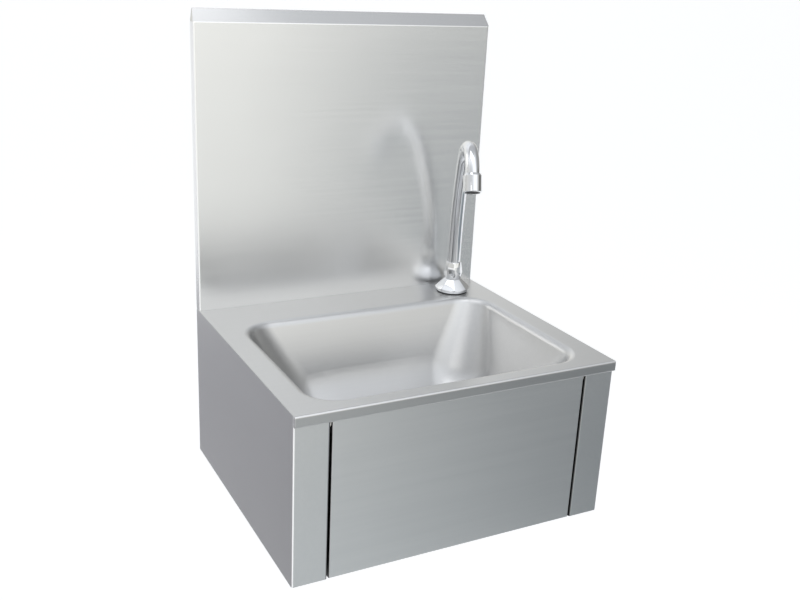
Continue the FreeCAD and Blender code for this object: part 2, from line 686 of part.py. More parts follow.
def make_valve_body():
    flange = hexagon(VALVE_FLANGE_AF, 0, VALVE_FLANGE, STEM_R + SCREW_FIT, valve_at(RAIL_REAR), Y_AXIS)
    neck = VALVE_BODY_LENGTH - UNION
    start = VALVE_FLANGE / 2
    barrel = turned([(0, start), (VALVE_BODY_R, start), (VALVE_BODY_R, neck - VALVE_EDGE),
                     (VALVE_BODY_R - VALVE_EDGE, neck), (SPIGOT_R, neck), (SPIGOT_R, VALVE_BODY_LENGTH),
                     (0, VALVE_BODY_LENGTH)], valve_at(RAIL_REAR), Y_AXIS)
    body = flange.fuse([barrel, rod(outlet_axis(), X_AXIS, OUTLET_R, OUTLET_REACH)]).removeSplitter()
    chamber = rod(valve_at(RAIL_REAR), Y_AXIS, CHAMBER_R, VALVE_FLANGE + OUTLET_BACK)
    bonnet_seat = rod(valve_at(RAIL_REAR), Y_AXIS, BONNET_SEAT_R, VALVE_FLANGE)
    bore = rod(outlet_axis(), X_AXIS, OUTLET_BORE_R, OUTLET_REACH)
    feed = rod(outlet_axis(), Y_AXIS, STEM_R, VALVE_BODY_LENGTH)
    return body.cut(chamber.fuse([bonnet_seat, bore, feed]))


def make_valve_bonnet():
    """Threaded sleeve that guides the stem and carries the locknut."""
    depth = RAIL_SHEET + VALVE_FLANGE
    bore = STEM_R + PIN_FIT
    profile = [(bore, -BONNET_REACH), (BONNET_R - THREAD_CHAMFER, -BONNET_REACH),
               (BONNET_R, THREAD_CHAMFER - BONNET_REACH), (BONNET_R, RAIL_SHEET),
               (BONNET_SEAT_R, RAIL_SHEET), (BONNET_SEAT_R, depth), (bore, depth)]
    return turned(profile, valve_at(RAIL_FACE), Y_AXIS)


def make_valve_locknut():
    return hexagon(LOCKNUT_AF, -LOCKNUT, 0, BONNET_R + SCREW_FIT, valve_at(RAIL_FACE), Y_AXIS)


def button_back():
    """Rear face of the button."""
    return BUTTON_FACE + dome_rise() + BUTTON_EDGE


def dome_rise():
    return BUTTON_DOME_R - math.sqrt(BUTTON_DOME_R ** 2 - BUTTON_R ** 2)


def make_valve_button():
    body = rod(valve_at(BUTTON_FACE), Y_AXIS, BUTTON_R, dome_rise() + BUTTON_EDGE)
    dome = Part.makeSphere(BUTTON_DOME_R, valve_at(BUTTON_FACE + BUTTON_DOME_R))
    return body.common(dome)


def make_valve_stem():
    """Stem from the button to the closing disc inside the valve."""
    start = button_back()
    disc = RAIL_REAR + VALVE_FLANGE + DISC_BEHIND - start
    profile = [(0, 0), (STEM_R, 0), (STEM_R, disc), (DISC_R, disc), (DISC_R, disc + DISC), (0, disc + DISC)]
    return turned(profile, valve_at(start), Y_AXIS)


def make_valve_spring():
    """Helical spring between the bonnet and the button, one quarter turn to each arc."""
    low = BONNET_END - SEAT_GAP - SPRING_WIRE_R
    high = button_back() + SEAT_GAP + SPRING_WIRE_R
    steps = SPRING_TURNS * 4

    def coil(k):
        angle = k * math.pi / 2
        y = low + (high - low) * k / steps
        return Vec(SPRING_R * math.cos(angle), y, VALVE_Z + SPRING_R * math.sin(angle))

    arcs = [Part.Arc(coil(k), coil(k + 0.5), coil(k + 1)).toShape() for k in range(steps)]
    path = Part.Wire(arcs)
    along = arcs[0].tangentAt(arcs[0].FirstParameter)
    section = Part.Wire(Part.makeCircle(SPRING_WIRE_R, coil(0), along))
    return path.makePipeShell([section], True, False)


# ---- mixer ----
def mixer_at(dz):
    return Vec(0, MIXER_Y, VALVE_Z + dz)


def arm_sweep(radius):
    """Both arms with their bends down to the inlets."""
    ends = []
    for side in (-1, 1):
        level = mixer_at(0) + X_AXIS * side * (INLET_SPREAD - ELBOW_R)
        low = mixer_at(-ELBOW_R) + X_AXIS * side * INLET_SPREAD
        half = ELBOW_R * math.sin(math.pi / 4)
        middle = level + Vec(side * half, 0, half - ELBOW_R)
        ends.append((low, middle, level))
    left, right = ends
    path = Part.Wire([Part.Arc(*left).toShape(), Part.makeLine(left[-1], right[-1]),
                      Part.Arc(*reversed(right)).toShape()])
    section = Part.Wire(Part.makeCircle(radius, left[0], Z_AXIS))
    return path.makePipeShell([section], True, False)


def make_mixing_body():
    profile = [(0, -MIXER_BELOW), (MIXER_R - VALVE_EDGE, -MIXER_BELOW), (MIXER_R, VALVE_EDGE - MIXER_BELOW),
               (MIXER_R, MIXER_ABOVE - MIXER_TOP_EDGE), (MIXER_R - MIXER_TOP_EDGE, MIXER_ABOVE),
               (0, MIXER_ABOVE)]
    shell = turned(profile, mixer_at(0), Z_AXIS)
    link = rod(valve_at(VALVE_BACK + SEAT_GAP), Y_AXIS, SPIGOT_R, MIXER_SETBACK)
    body = shell.fuse([link, arm_sweep(ARM_R)]).removeSplitter()
    feed = rod(valve_at(VALVE_BACK), Y_AXIS, STEM_R, MIXER_SETBACK)
    gland = rod(mixer_at(-2 * MIXER_BELOW), Z_AXIS, SPINDLE_R + PIN_FIT, 2 * MIXER_BELOW)
    return body.cut(arm_sweep(INLET_BORE_R).fuse([feed, gland]))


def make_union_nut():
    return hexagon(UNION_AF, UNION_LAP - UNION, UNION_LAP, SPIGOT_R + SCREW_FIT, valve_at(VALVE_BACK), Y_AXIS)


def make_inlet():
    """The right inlet with its threaded tail down; the left one is its mirror image."""
    top = mixer_at(-ELBOW_R) + X_AXIS * INLET_SPREAD
    end = INLET_COLLAR + INLET_THREAD
    nut = hexagon(INLET_AF, 0, INLET_COLLAR, INLET_BORE_R, top, -Z_AXIS)
    profile = [(INLET_BORE_R, INLET_COLLAR), (INLET_THREAD_R, INLET_COLLAR),
               (INLET_THREAD_R, end - THREAD_CHAMFER), (INLET_THREAD_R - THREAD_CHAMFER, end),
               (INLET_BORE_R, end)]
    return nut.fuse(turned(profile, top, -Z_AXIS)).removeSplitter()


def make_mixing_spindle():
    low = -MIXER_BELOW - SPINDLE_GRIP
    profile = [(0, low), (SPINDLE_R, low), (SPINDLE_R, -INLET_BORE_R), (0, -INLET_BORE_R)]
    return turned(profile, mixer_at(0), Z_AXIS)


def make_mixing_knob():
    top = -MIXER_BELOW - SEAT_GAP
    low = top - KNOB_HEIGHT
    knob = turned([(0, low), (KNOB_R - KNOB_EDGE, low), (KNOB_R, low + KNOB_EDGE), (KNOB_R, top - KNOB_EDGE),
                   (KNOB_R - KNOB_EDGE, top), (0, top)], mixer_at(0), Z_AXIS)
    for k in range(KNOB_FLUTES):
        angle = 2 * math.pi * k / KNOB_FLUTES
        place = mixer_at(low) + Vec(math.cos(angle), math.sin(angle), 0) * (KNOB_R + FLUTE_OUT)
        knob = knob.cut(rod(place, Z_AXIS, FLUTE_R, KNOB_HEIGHT))
    return knob.cut(rod(mixer_at(-MIXER_BELOW - SPINDLE_GRIP), Z_AXIS, SPINDLE_R, KNOB_HEIGHT))


# ---- tap ----
def tap_at(height):
    return Vec(TAP_X, TAP_Y, DECK + height)


def make_tap_gasket():
    return tube(BASE_FOOT_R - GASKET_SETBACK, SHANK_R + HOLE_FIT, 0, TAP_GASKET, tap_at(0), Z_AXIS)


def make_tap_base():
    """Round skirt cut by flat facets up to the collar."""
    low = TAP_GASKET
    profile = [(0, low), (BASE_FOOT_R, low), (BASE_WIDE_R, BASE_WIDE_HEIGHT - BASE_RIM),
               (BASE_WIDE_R, BASE_WIDE_HEIGHT), (BASE_TOP_R + BASE_ROUND, BASE_HEIGHT), (0, BASE_HEIGHT)]
    skirt = turned(profile, Vec(0, 0, 0), Z_AXIS)
    deep = low - BASE_WIDE_HEIGHT
    slope = (BASE_WIDE_R - BASE_TOP_R) / (BASE_HEIGHT - BASE_WIDE_HEIGHT)
    wide = BASE_TOP_R + slope * (BASE_HEIGHT - deep)
    rings = [polygon_ring(wide, BASE_FACETS, deep), polygon_ring(BASE_TOP_R, BASE_FACETS, BASE_HEIGHT)]
    base = skirt.common(Part.makeLoft(rings, True, True))
    inside = BASE_FOOT_R - BASE_WALL
    ceiling = BASE_HEIGHT - BASE_CROWN
    hollow = turned([(0, low), (inside, low), (inside, low + BASE_SKIRT), (NECK_R + BASE_CROWN, ceiling),
                     (0, ceiling)], Vec(0, 0, 0), Z_AXIS)
    hole = Part.makeCylinder(NECK_R + SCREW_FIT, BASE_HEIGHT)
    return aim(base.cut(hollow.fuse(hole)), tap_at(0), Z_AXIS)


def make_tap_collar():
    """Faceted tapered collar that screws on the neck and traps the spout's flange."""
    levels = ((BASE_HEIGHT, COLLAR_FOOT_R), (COLLAR_WIDE_HEIGHT, COLLAR_WIDE_R),
              (COLLAR_HEIGHT, COLLAR_TOP_R))
    rings = [polygon_ring(r, COLLAR_FACETS, z) for z, r in levels]
    foot = Part.makeLoft(rings[:2], True, True)
    body = Part.makeLoft(rings[1:], True, True)
    profile = [(r * COLLAR_ROUND, z) for z, r in levels]
    form = turned([(0, BASE_HEIGHT)] + profile + [(0, COLLAR_HEIGHT)], Vec(0, 0, 0), Z_AXIS)
    outside = foot.fuse(body).removeSplitter().common(form)
    screwed = NECK_R + SCREW_FIT
    running = TUBE_R + SWIVEL_FIT
    passage = [(0, 0), (screwed, 0), (screwed, NECK_HEIGHT - COLLAR_FLARE), (COLLAR_CHAMBER_R, NECK_HEIGHT),
               (COLLAR_CHAMBER_R, COLLAR_SHOULDER), (running, COLLAR_SHOULDER),
               (running, 2 * COLLAR_HEIGHT), (0, 2 * COLLAR_HEIGHT)]
    bore = turned(passage, Vec(0, 0, 0), Z_AXIS)
    return aim(outside.cut(bore), tap_at(0), Z_AXIS)


def make_tap_shank():
    """Threaded tail through the deck, with the neck above it."""
    profile = [(NECK_BORE_R, NECK_HEIGHT), (NECK_R, NECK_HEIGHT), (NECK_R, NECK_START), (SHANK_R, NECK_START),
               (SHANK_R, THREAD_CHAMFER - SHANK_DROP), (SHANK_R - THREAD_CHAMFER, -SHANK_DROP),
               (NECK_BORE_R, -SHANK_DROP)]
    return turned(profile, tap_at(0), Z_AXIS)


def make_tap_washer():
    return tube(TAP_WASHER_R, SHANK_R + HOLE_FIT, -SHEET - TAP_WASHER, -SHEET, tap_at(0), Z_AXIS)


def make_tap_backnut():
    top = -SHEET - TAP_WASHER
    return hexagon(TAP_NUT_AF, top - TAP_NUT, top, SHANK_R + SCREW_FIT, tap_at(0), Z_AXIS)


# ---- spout ----
def spout_direction():
    turn = math.radians(SPOUT_TURN)
    return Vec(-math.sin(turn), -math.cos(turn), 0)


def spout_path(start_height):
    """Straight foot, slight bow, tight arch and a short tail, all tangent."""
    ahead = spout_direction()
    at = tap_at(start_height)
    edges = [Part.makeLine(at, tap_at(SPOUT_STRAIGHT))]
    at = tap_at(SPOUT_STRAIGHT)
    angle = 0.0
    for radius, end in ((BOW_R, math.radians(BOW_ANGLE)), (ARCH_R, math.radians(ARCH_END))):
        centre = at + ahead * (radius * math.cos(angle)) - Z_AXIS * (radius * math.sin(angle))
        middle, last = [centre - ahead * (radius * math.cos(a)) + Z_AXIS * (radius * math.sin(a))
                        for a in ((angle + end) / 2, end)]
        edges.append(Part.Arc(at, middle, last).toShape())
        at = last
        angle = end
    heading = ahead * math.sin(angle) + Z_AXIS * math.cos(angle)
    outlet = at + heading * ARCH_TAIL
    edges.append(Part.makeLine(at, outlet))
    return Part.Wire(edges), outlet, heading


def swept_round(path, radius, start):
    section = Part.Wire(Part.makeCircle(radius, start, Z_AXIS))
    return path.makePipeShell([section], True, False)


def make_spout_tube():
    start_height = COLLAR_SHOULDER + SLIP_FIT
    path = spout_path(start_height)[0]
    start = tap_at(start_height)
    return swept_round(path, TUBE_R, start).cut(swept_round(path, TUBE_R - TUBE_WALL, start))


def foot_flange_top():
    return NECK_HEIGHT + SEAT_GAP + FOOT_FLANGE


def ring_heights():
    return [NECK_HEIGHT - FOOT_DROP + height for height in RING_HEIGHTS]


def make_spout_foot():
    """Spigot in the neck with two ring grooves, trapping flange, and the plug in the tube."""
    flange = NECK_HEIGHT + SEAT_GAP
    plug_r = TUBE_R - TUBE_WALL
    plug_end = SPOUT_STRAIGHT - PLUG_BELOW_BOW
    groove_r = FOOT_R - 2 * RING_WIRE_R - SCREW_FIT
    low = NECK_HEIGHT - FOOT_DROP
    profile = [(FOOT_BORE_R, low), (FOOT_R, low)]
    for height in ring_heights():
        start = height - RING_GROOVE / 2
        end = height + RING_GROOVE / 2
        profile += [(FOOT_R, start), (groove_r, start), (groove_r, end), (FOOT_R, end)]
    profile += [(FOOT_R, flange), (FOOT_FLANGE_R, flange), (FOOT_FLANGE_R, foot_flange_top()),
                (plug_r, foot_flange_top()), (plug_r, plug_end), (FOOT_BORE_R, plug_end)]
    return turned(profile, tap_at(0), Z_AXIS)


def make_spout_rings():
    return group([Part.makeTorus(FOOT_R - RING_WIRE_R, RING_WIRE_R, tap_at(h)) for h in ring_heights()])


def make_slip_ring():
    low = foot_flange_top() + SLIP_FIT
    high = COLLAR_SHOULDER - SLIP_FIT
    return tube(FOOT_FLANGE_R, TUBE_R - TUBE_WALL + SLIP_FIT, low, high, tap_at(0), Z_AXIS)


def spout_outlet():
    """The end of the spout's tube and the way the water leaves."""
    return spout_path(COLLAR_SHOULDER)[1:]


def make_aerator_housing():
    top = -AERATOR_SOCKET
    low = top + AERATOR_LENGTH
    profile = [(TUBE_R, top), (TUBE_R + AERATOR_TOP_WALL, top), (AERATOR_R, top + AERATOR_SHOULDER),
               (AERATOR_R, low - AERATOR_EDGE), (AERATOR_R - AERATOR_EDGE, low), (AERATOR_BORE_R, low),
               (AERATOR_BORE_R, SEAT_GAP), (TUBE_R, SEAT_GAP)]
    return turned(profile, *spout_outlet())


def make_aerator_gasket():
    return tube(AERATOR_BORE_R - AERATOR_FIT, TUBE_R - TUBE_WALL, SEAT_GAP + AERATOR_FIT, AERATOR_SEAL,
                *spout_outlet())


def make_aerator_insert():
    low = AERATOR_LENGTH - AERATOR_SOCKET - AERATOR_RECESS
    return tube(AERATOR_BORE_R - AERATOR_FIT, AERATOR_WAY_R, AERATOR_SEAL + AERATOR_FIT, low, *spout_outlet())


# ---- waste ----
def waste_at(height):
    return Vec(0, WASTE_Y, SEAT + height)


def make_waste_upper_seal():
    return tube(WASTE_FLANGE_R - 1, WASTE_HOLE_R, 0, WASTE_SEAL, waste_at(0), Z_AXIS)


def make_waste_strainer():
    """Slotted plate with a rolled edge and a socket for the screw."""
    low = WASTE_SEAL
    high = low + WASTE_FLANGE
    socket = WASTE_SCREW_R + SCREW_FIT
    profile = [(socket, low - PLATE_DROP), (SLOT_OUT + PLATE_SLOPE, low - PLATE_DROP),
               (WASTE_HOLE_R - PLATE_SLOPE, low), (WASTE_FLANGE_R, low), (WASTE_FLANGE_R, high - WASTE_EDGE),
               (WASTE_FLANGE_R - WASTE_EDGE, high), (WASTE_HOLE_R - PLATE_SLOPE / 2, high),
               (SLOT_OUT + PLATE_SLOPE / 2, PLATE_TOP), (WASTE_HEAD_R + SCREW_FIT, PLATE_TOP),
               (socket, PLATE_TOP - WASTE_HEAD)]
    plate = turned(profile, waste_at(0), Z_AXIS)
    for k in range(STRAINER_SLOTS):
        half = SLOT_WIDTH / 2
        slot = block(SLOT_IN, SLOT_OUT, -half, half, 0, 2 * high)
        ends = [Part.makeCylinder(half, 2 * high, Vec(x, 0, 0)) for x in (SLOT_IN, SLOT_OUT)]
        slot = slot.fuse(ends)
        slot.rotate(Vec(0, 0, 0), Z_AXIS, 360 * k / STRAINER_SLOTS)
        slot.translate(waste_at(0))
        plate = plate.cut(slot)
    return plate


def make_waste_screw():
    profile = [(0, WASTE_BASE), (WASTE_SCREW_R, WASTE_BASE), (WASTE_SCREW_R, PLATE_TOP - WASTE_HEAD),
               (WASTE_HEAD_R, PLATE_TOP), (0, PLATE_TOP)]
    return turned(profile, waste_at(0), Z_AXIS)


def make_waste_lower_seal():
    return tube(WASTE_FLANGE_R, WASTE_HOLE_R, WASTE_TOP, -SHEET, waste_at(0), Z_AXIS)


def make_waste_body():
    """Collar under the basin, taper and threaded tail, with a bridge for the screw."""
    taper = WASTE_TOP - WASTE_COLLAR
    low = WASTE_BASE - WASTE_TAIL
    profile = [(WASTE_HOLE_R, WASTE_TOP), (WASTE_FLANGE_R, WASTE_TOP), (WASTE_FLANGE_R, taper),
               (WASTE_TAIL_R, WASTE_BASE), (WASTE_TAIL_R, low + THREAD_CHAMFER),
               (WASTE_TAIL_R - THREAD_CHAMFER, low), (WASTE_BORE_R, low), (WASTE_BORE_R, WASTE_BASE)]
    shell = turned(profile, waste_at(0), Z_AXIS)
    reach = WASTE_BORE_R + BRIDGE_LAP
    bridge_top = taper - BRIDGE_DROP
    bridge = block(-reach, reach, -BRIDGE / 2, BRIDGE / 2, WASTE_BASE, bridge_top)
    bridge.translate(waste_at(0))
    boss = rod(waste_at(WASTE_BASE), Z_AXIS, BOSS_R, bridge_top - WASTE_BASE)
    screw_way = rod(waste_at(WASTE_BASE), Z_AXIS, WASTE_SCREW_R + SCREW_FIT, WASTE_TAPER)
    return shell.fuse([bridge, boss]).removeSplitter().cut(screw_way)


# ---- supply hose ----
def hose_end_on_valve():
    """Where a hose end screws on, and the way the hose leaves."""
    return outlet_axis() + X_AXIS * (OUTLET_REACH - NUT_ON), X_AXIS


def hose_end_on_tap():
    return tap_at(NUT_ON - SHANK_DROP), -Z_AXIS


def make_hose_nut(thread_r, across_flats, start, away):
    nut = hexagon(across_flats, 0, HOSE_NUT, FERRULE_R + SCREW_FIT, start, away)
    return nut.cut(rod(start, away, thread_r + SCREW_FIT, NUT_THREAD))


def make_hose_ferrule(start, away):
    return tube(FERRULE_R, HOSE_INNER_R, HOSE_NUT - FERRULE_IN_NUT, HOSE_NUT + FERRULE, start, away)


def hose_points():
    """Route from the valve, under the basin's right side, up to the tap."""
    ends = [start + away * (HOSE_NUT + FERRULE) for start, away in (hose_end_on_valve(), hose_end_on_tap())]
    aside, behind = HOSE_TURN
    outlet_y = outlet_axis().y
    turns = [Vec(TAP_X - aside, outlet_y + behind, 0), Vec(TAP_X, outlet_y + HOSE_SIDE, 0),
             Vec(TAP_X, TAP_Y - HOSE_REAR, 0)]
    route = [turn + Z_AXIS * (VALVE_Z - sag) for turn, sag in zip(turns, HOSE_SAGS)]
    return [ends[0], ends[0] + X_AXIS * HOSE_RUN] + route + [ends[1] - Z_AXIS * HOSE_RISE, ends[1]]


def make_supply_hose():
    """Straight runs joined by tangent arcs, each as large as its two runs allow."""
    points = hose_points()
    edges = []
    at = points[0]
    for before, corner, after in zip(points, points[1:], points[2:]):
        u = (corner - before).normalize()
        w = (after - corner).normalize()
        half_turn = u.getAngle(w) / 2
        run = HOSE_BEND * min((corner - before).Length, (after - corner).Length)
        radius = run / math.tan(half_turn)
        bisector = (w - u).normalize()
        centre = corner + bisector * (radius / math.cos(half_turn))
        begin = corner - u * run
        end = corner + w * run
        edges.append(Part.makeLine(at, begin))
        edges.append(Part.Arc(begin, centre - bisector * radius, end).toShape())
        at = end
    edges.append(Part.makeLine(at, points[-1]))
    section = Part.Wire(Part.makeCircle(HOSE_R, points[0], X_AXIS))
    return Part.Wire(edges).makePipeShell([section], True, False)


NODES = {
    "sink_top": make_sink_top,
    "right_side_panel": make_side_panel,
    "left_side_panel": lambda: mirrored(make_side_panel()),
    "splashback": make_splashback,
    "splashback_screws": make_splash_screws,
    "upper_back_rail": lambda: make_back_rail(FIXING_RISE / 2),
    "lower_back_rail": lambda: make_back_rail(-FIXING_RISE / 2),
    "valve_rail": make_valve_rail,
    "knee_panel": make_knee_panel,
    "hinge_bushes": make_hinge_bushes,
    "right_hinge_pin": make_hinge_pin,
    "left_hinge_pin": lambda: mirrored(make_hinge_pin()),
    "hinge_washers": make_hinge_washers,
    "hinge_nuts": make_hinge_nuts,
    "stop_buffers": make_stop_buffers,
    "push_pad": make_push_pad,
    "valve_body": make_valve_body,
    "valve_bonnet": make_valve_bonnet,
    "valve_locknut": make_valve_locknut,
    "valve_button": make_valve_button,
    "valve_stem": make_valve_stem,
    "valve_spring": make_valve_spring,
    "mixing_body": make_mixing_body,
    "union_nut": make_union_nut,
    "cold_inlet": make_inlet,
    "hot_inlet": lambda: mirrored(make_inlet()),
    "mixing_spindle": make_mixing_spindle,
    "mixing_knob": make_mixing_knob,
    "tap_gasket": make_tap_gasket,
    "tap_base": make_tap_base,
    "tap_collar": make_tap_collar,
    "tap_shank": make_tap_shank,
    "tap_washer": make_tap_washer,
    "tap_backnut": make_tap_backnut,
    "spout_tube": make_spout_tube,
    "spout_foot": make_spout_foot,
    "spout_rings": make_spout_rings,
    "slip_ring": make_slip_ring,
    "aerator_housing": make_aerator_housing,
    "aerator_gasket": make_aerator_gasket,
    "aerator_insert": make_aerator_insert,
    "waste_upper_seal": make_waste_upper_seal,
    "waste_strainer": make_waste_strainer,
    "waste_screw": make_waste_screw,
    "waste_lower_seal": make_waste_lower_seal,
    "waste_body": make_waste_body,
    "supply_hose": make_supply_hose,
    "valve_hose_ferrule": lambda: make_hose_ferrule(*hose_end_on_valve()),
    "tap_hose_ferrule": lambda: make_hose_ferrule(*hose_end_on_tap()),
    "valve_hose_nut": lambda: make_hose_nut(OUTLET_R, VALVE_HOSE_AF, *hose_end_on_valve()),
    "tap_hose_nut": lambda: make_hose_nut(SHANK_R, TAP_HOSE_AF, *hose_end_on_tap()),
}

os.makedirs("parts", exist_ok=True)
for name, make in NODES.items():
    shape = make()
    shape.exportStep("parts/" + name + ".step")
    print(name, "valid" if shape.isValid() else "NOT VALID", len(shape.Solids), round(shape.Volume, 1))
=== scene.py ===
# %% [markdown]
# # A knee-operated hand wash sink in brushed stainless steel
# The imported CAD model comes in first, as a fixed frame: every folded panel, nut and pin is already
# at its real place and size. This lesson gives those pieces their finishes, and models by hand the
# forms that a CAD solid leaves plain, such as soft-edged chrome castings, threads, the braided hose
# and the coil spring. Its size is kept, to set the floor below it.

# %% Load the frame
import math
from functools import partial
import bpy
from mathutils import Matrix, Vector


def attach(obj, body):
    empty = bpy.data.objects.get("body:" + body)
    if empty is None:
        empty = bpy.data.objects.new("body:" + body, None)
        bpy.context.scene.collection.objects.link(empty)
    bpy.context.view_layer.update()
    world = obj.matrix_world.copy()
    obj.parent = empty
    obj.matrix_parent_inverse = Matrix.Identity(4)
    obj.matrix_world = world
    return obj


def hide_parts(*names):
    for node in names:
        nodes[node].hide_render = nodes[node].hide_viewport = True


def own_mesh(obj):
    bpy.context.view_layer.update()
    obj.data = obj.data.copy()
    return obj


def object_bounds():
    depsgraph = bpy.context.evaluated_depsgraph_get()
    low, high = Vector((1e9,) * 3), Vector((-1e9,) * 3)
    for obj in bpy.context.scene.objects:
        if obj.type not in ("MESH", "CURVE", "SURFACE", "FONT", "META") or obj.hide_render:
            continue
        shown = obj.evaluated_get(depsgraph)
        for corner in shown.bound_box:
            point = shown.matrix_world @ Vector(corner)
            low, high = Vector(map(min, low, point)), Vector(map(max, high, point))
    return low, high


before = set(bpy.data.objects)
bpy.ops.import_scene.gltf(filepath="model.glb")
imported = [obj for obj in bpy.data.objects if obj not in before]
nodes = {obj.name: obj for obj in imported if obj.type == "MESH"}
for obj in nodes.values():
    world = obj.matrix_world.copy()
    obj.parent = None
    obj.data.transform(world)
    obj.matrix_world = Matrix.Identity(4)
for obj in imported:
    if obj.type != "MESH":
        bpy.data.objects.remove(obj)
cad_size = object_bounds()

print("CAD box in metres:", [tuple(round(v, 4) for v in corner) for corner in cad_size])

# %% [markdown]
# ## The camera
# The photograph was taken a little above the sink and from its left. The camera's place, turn and
# lens were worked out once from the sink's own straight edges, so that they fall on the same lines
# as in the photograph. Unit vectors give its turn exactly, which is easier to check than angles.

# %% Camera
CAMERA_PLACE = Vector((-0.5213, -1.1469, 0.5292))
CAMERA_RIGHT = Vector((0.8880, -0.4575, 0.0454))
CAMERA_UP = Vector((0.1110, 0.3092, 0.9445))
SENSOR_WIDTH = 36.0         # millimetres, as the lens
LENS = 43.77
CLIP_START = 0.01

scene = bpy.context.scene
camera = bpy.data.objects.new("camera", bpy.data.cameras.new("camera"))
scene.collection.objects.link(camera)
right = CAMERA_RIGHT.normalized()
back = right.cross(CAMERA_UP).normalized()
turn = Matrix((right, back.cross(right), back)).transposed().to_4x4()
camera.matrix_world = Matrix.Translation(CAMERA_PLACE) @ turn
camera.data.sensor_width = SENSOR_WIDTH
camera.data.lens = LENS
camera.data.clip_start = CLIP_START
scene.camera = camera
print("camera looks down by", round(math.degrees(math.asin(back.z)), 1), "degrees")

# %% [markdown]
# ## The studio
# Brushed and polished metal shows mostly what it reflects, so the studio matters as much as the
# finishes. A wide pale floor lies well below the wall-hung cabinet, and the world is a soft white
# that dims in a few directions, as a room does beside its lamps. The camera itself sees plain
# white all round. Grey cards lie just above the floor, where the camera doesn't look and only
# reflections see them: they stand for the dim parts of a real studio, and without them every panel
# would turn plain white.

# %% Floor
FLOOR_DROP = 0.85           # under the cabinet
FLOOR_SIZE = 160.0
FLOOR_SHADE = 0.93
FLOOR_ROUGHNESS = 0.8
FLOOR_GLOW = 0.30

scene.view_settings.view_transform = "Standard"
floor_z = cad_size[0].z - FLOOR_DROP
bpy.ops.object.select_all(action="DESELECT")
bpy.ops.mesh.primitive_plane_add(size=FLOOR_SIZE, location=(0, 0, floor_z))
floor = bpy.context.object
floor.name = "floor"
floor_finish = bpy.data.materials.new("pale_floor")
floor_finish.use_nodes = True
floor_shader = floor_finish.node_tree.nodes["Principled BSDF"]
floor_shader.inputs["Base Color"].default_value = (FLOOR_SHADE, FLOOR_SHADE, FLOOR_SHADE, 1)
floor_shader.inputs["Roughness"].default_value = FLOOR_ROUGHNESS
floor_shader.inputs["Emission Color"].default_value = (1, 1, 1, 1)
floor_shader.inputs["Emission Strength"].default_value = FLOOR_GLOW
floor.data.materials.append(floor_finish)
print("floor at", round(floor_z, 3))

# %% Node helpers
MIX_LOW, MIX_HIGH, MIX_RESULT = 6, 7, 2     # a Mix node's colour sockets, by number
WHITE = (1, 1, 1)
BLACK = (0, 0, 0)


def reckoned(tree, kind, operation, first, second=None, result="Value"):
    """A Math or Vector Math node. The second value is a socket, a plain value or left out."""
    node = tree.nodes.new(kind)
    node.operation = operation
    tree.links.new(first, node.inputs[0])
    if isinstance(second, bpy.types.NodeSocket):
        tree.links.new(second, node.inputs[1])
    elif second is not None:
        node.inputs[1].default_value = second
    return node.outputs[result]


number = partial(reckoned, kind="ShaderNodeMath")
colour_sum = partial(reckoned, kind="ShaderNodeVectorMath", operation="ADD", result="Vector")
times = partial(reckoned, kind="ShaderNodeVectorMath", operation="MULTIPLY", result="Vector")
along_axis = partial(reckoned, kind="ShaderNodeVectorMath", operation="DOT_PRODUCT")


def tinted(tree, factor, low_colour, high_colour):
    """A colour between two, by a factor."""
    node = tree.nodes.new("ShaderNodeMix")
    node.data_type = "RGBA"
    node.inputs[MIX_LOW].default_value = (*low_colour, 1)
    node.inputs[MIX_HIGH].default_value = (*high_colour, 1)
    tree.links.new(factor, node.inputs[0])
    return node.outputs[MIX_RESULT]


def mapped(tree, source, low, high, from_low=0.3, from_high=0.7, ramp="LINEAR"):
    """Stretches a value from one range to another."""
    node = tree.nodes.new("ShaderNodeMapRange")
    node.interpolation_type = ramp
    node.inputs["From Min"].default_value = from_low
    node.inputs["From Max"].default_value = from_high
    node.inputs["To Min"].default_value = low
    node.inputs["To Max"].default_value = high
    tree.links.new(source, node.inputs["Value"])
    return node.outputs["Result"]


def graded(tree, source, low_colour, high_colour, from_low, from_high):
    """A colour that goes smoothly from one to another as the source value rises."""
    factor = mapped(tree, source, 0.0, 1.0, from_low, from_high, "SMOOTHSTEP")
    return tinted(tree, factor, low_colour, high_colour)


def own_place(tree, kind="Object"):
    """The X, Y and Z of a spot in metres, or with UV how far it is along and round the piece."""
    place = tree.nodes.new("ShaderNodeTexCoord")
    split = tree.nodes.new("ShaderNodeSeparateXYZ")
    tree.links.new(place.outputs[kind], split.inputs[0])
    return split.outputs


print("colour runs on sockets", MIX_LOW, "to", MIX_HIGH, "and out of", MIX_RESULT)

# %% World
HORIZON = (1.24, 1.23, 1.17)
ZENITH = (1.16, 1.19, 1.23)
RISE = (0.05, 0.7)          # of the sine of the height, from the horizon's colour to the zenith's
DIMS = (                    # direction, how bright it is there, and where the fall starts and ends
    (Vector((1.0, 0.0, 0.0)), 0.28, 0.26, 0.85),
    (Vector((-0.56, 0.83, 0.0)), 0.55, 0.45, 1.0),
    (Vector((0.05, 0.35, 0.935)), 0.45, 0.70, 0.96),
    (Vector((-0.88, -0.42, 0.22)), 0.58, 0.55, 0.95),
    (Vector((0.93, -0.36, 0.05)), 0.35, 0.94, 0.985),
)

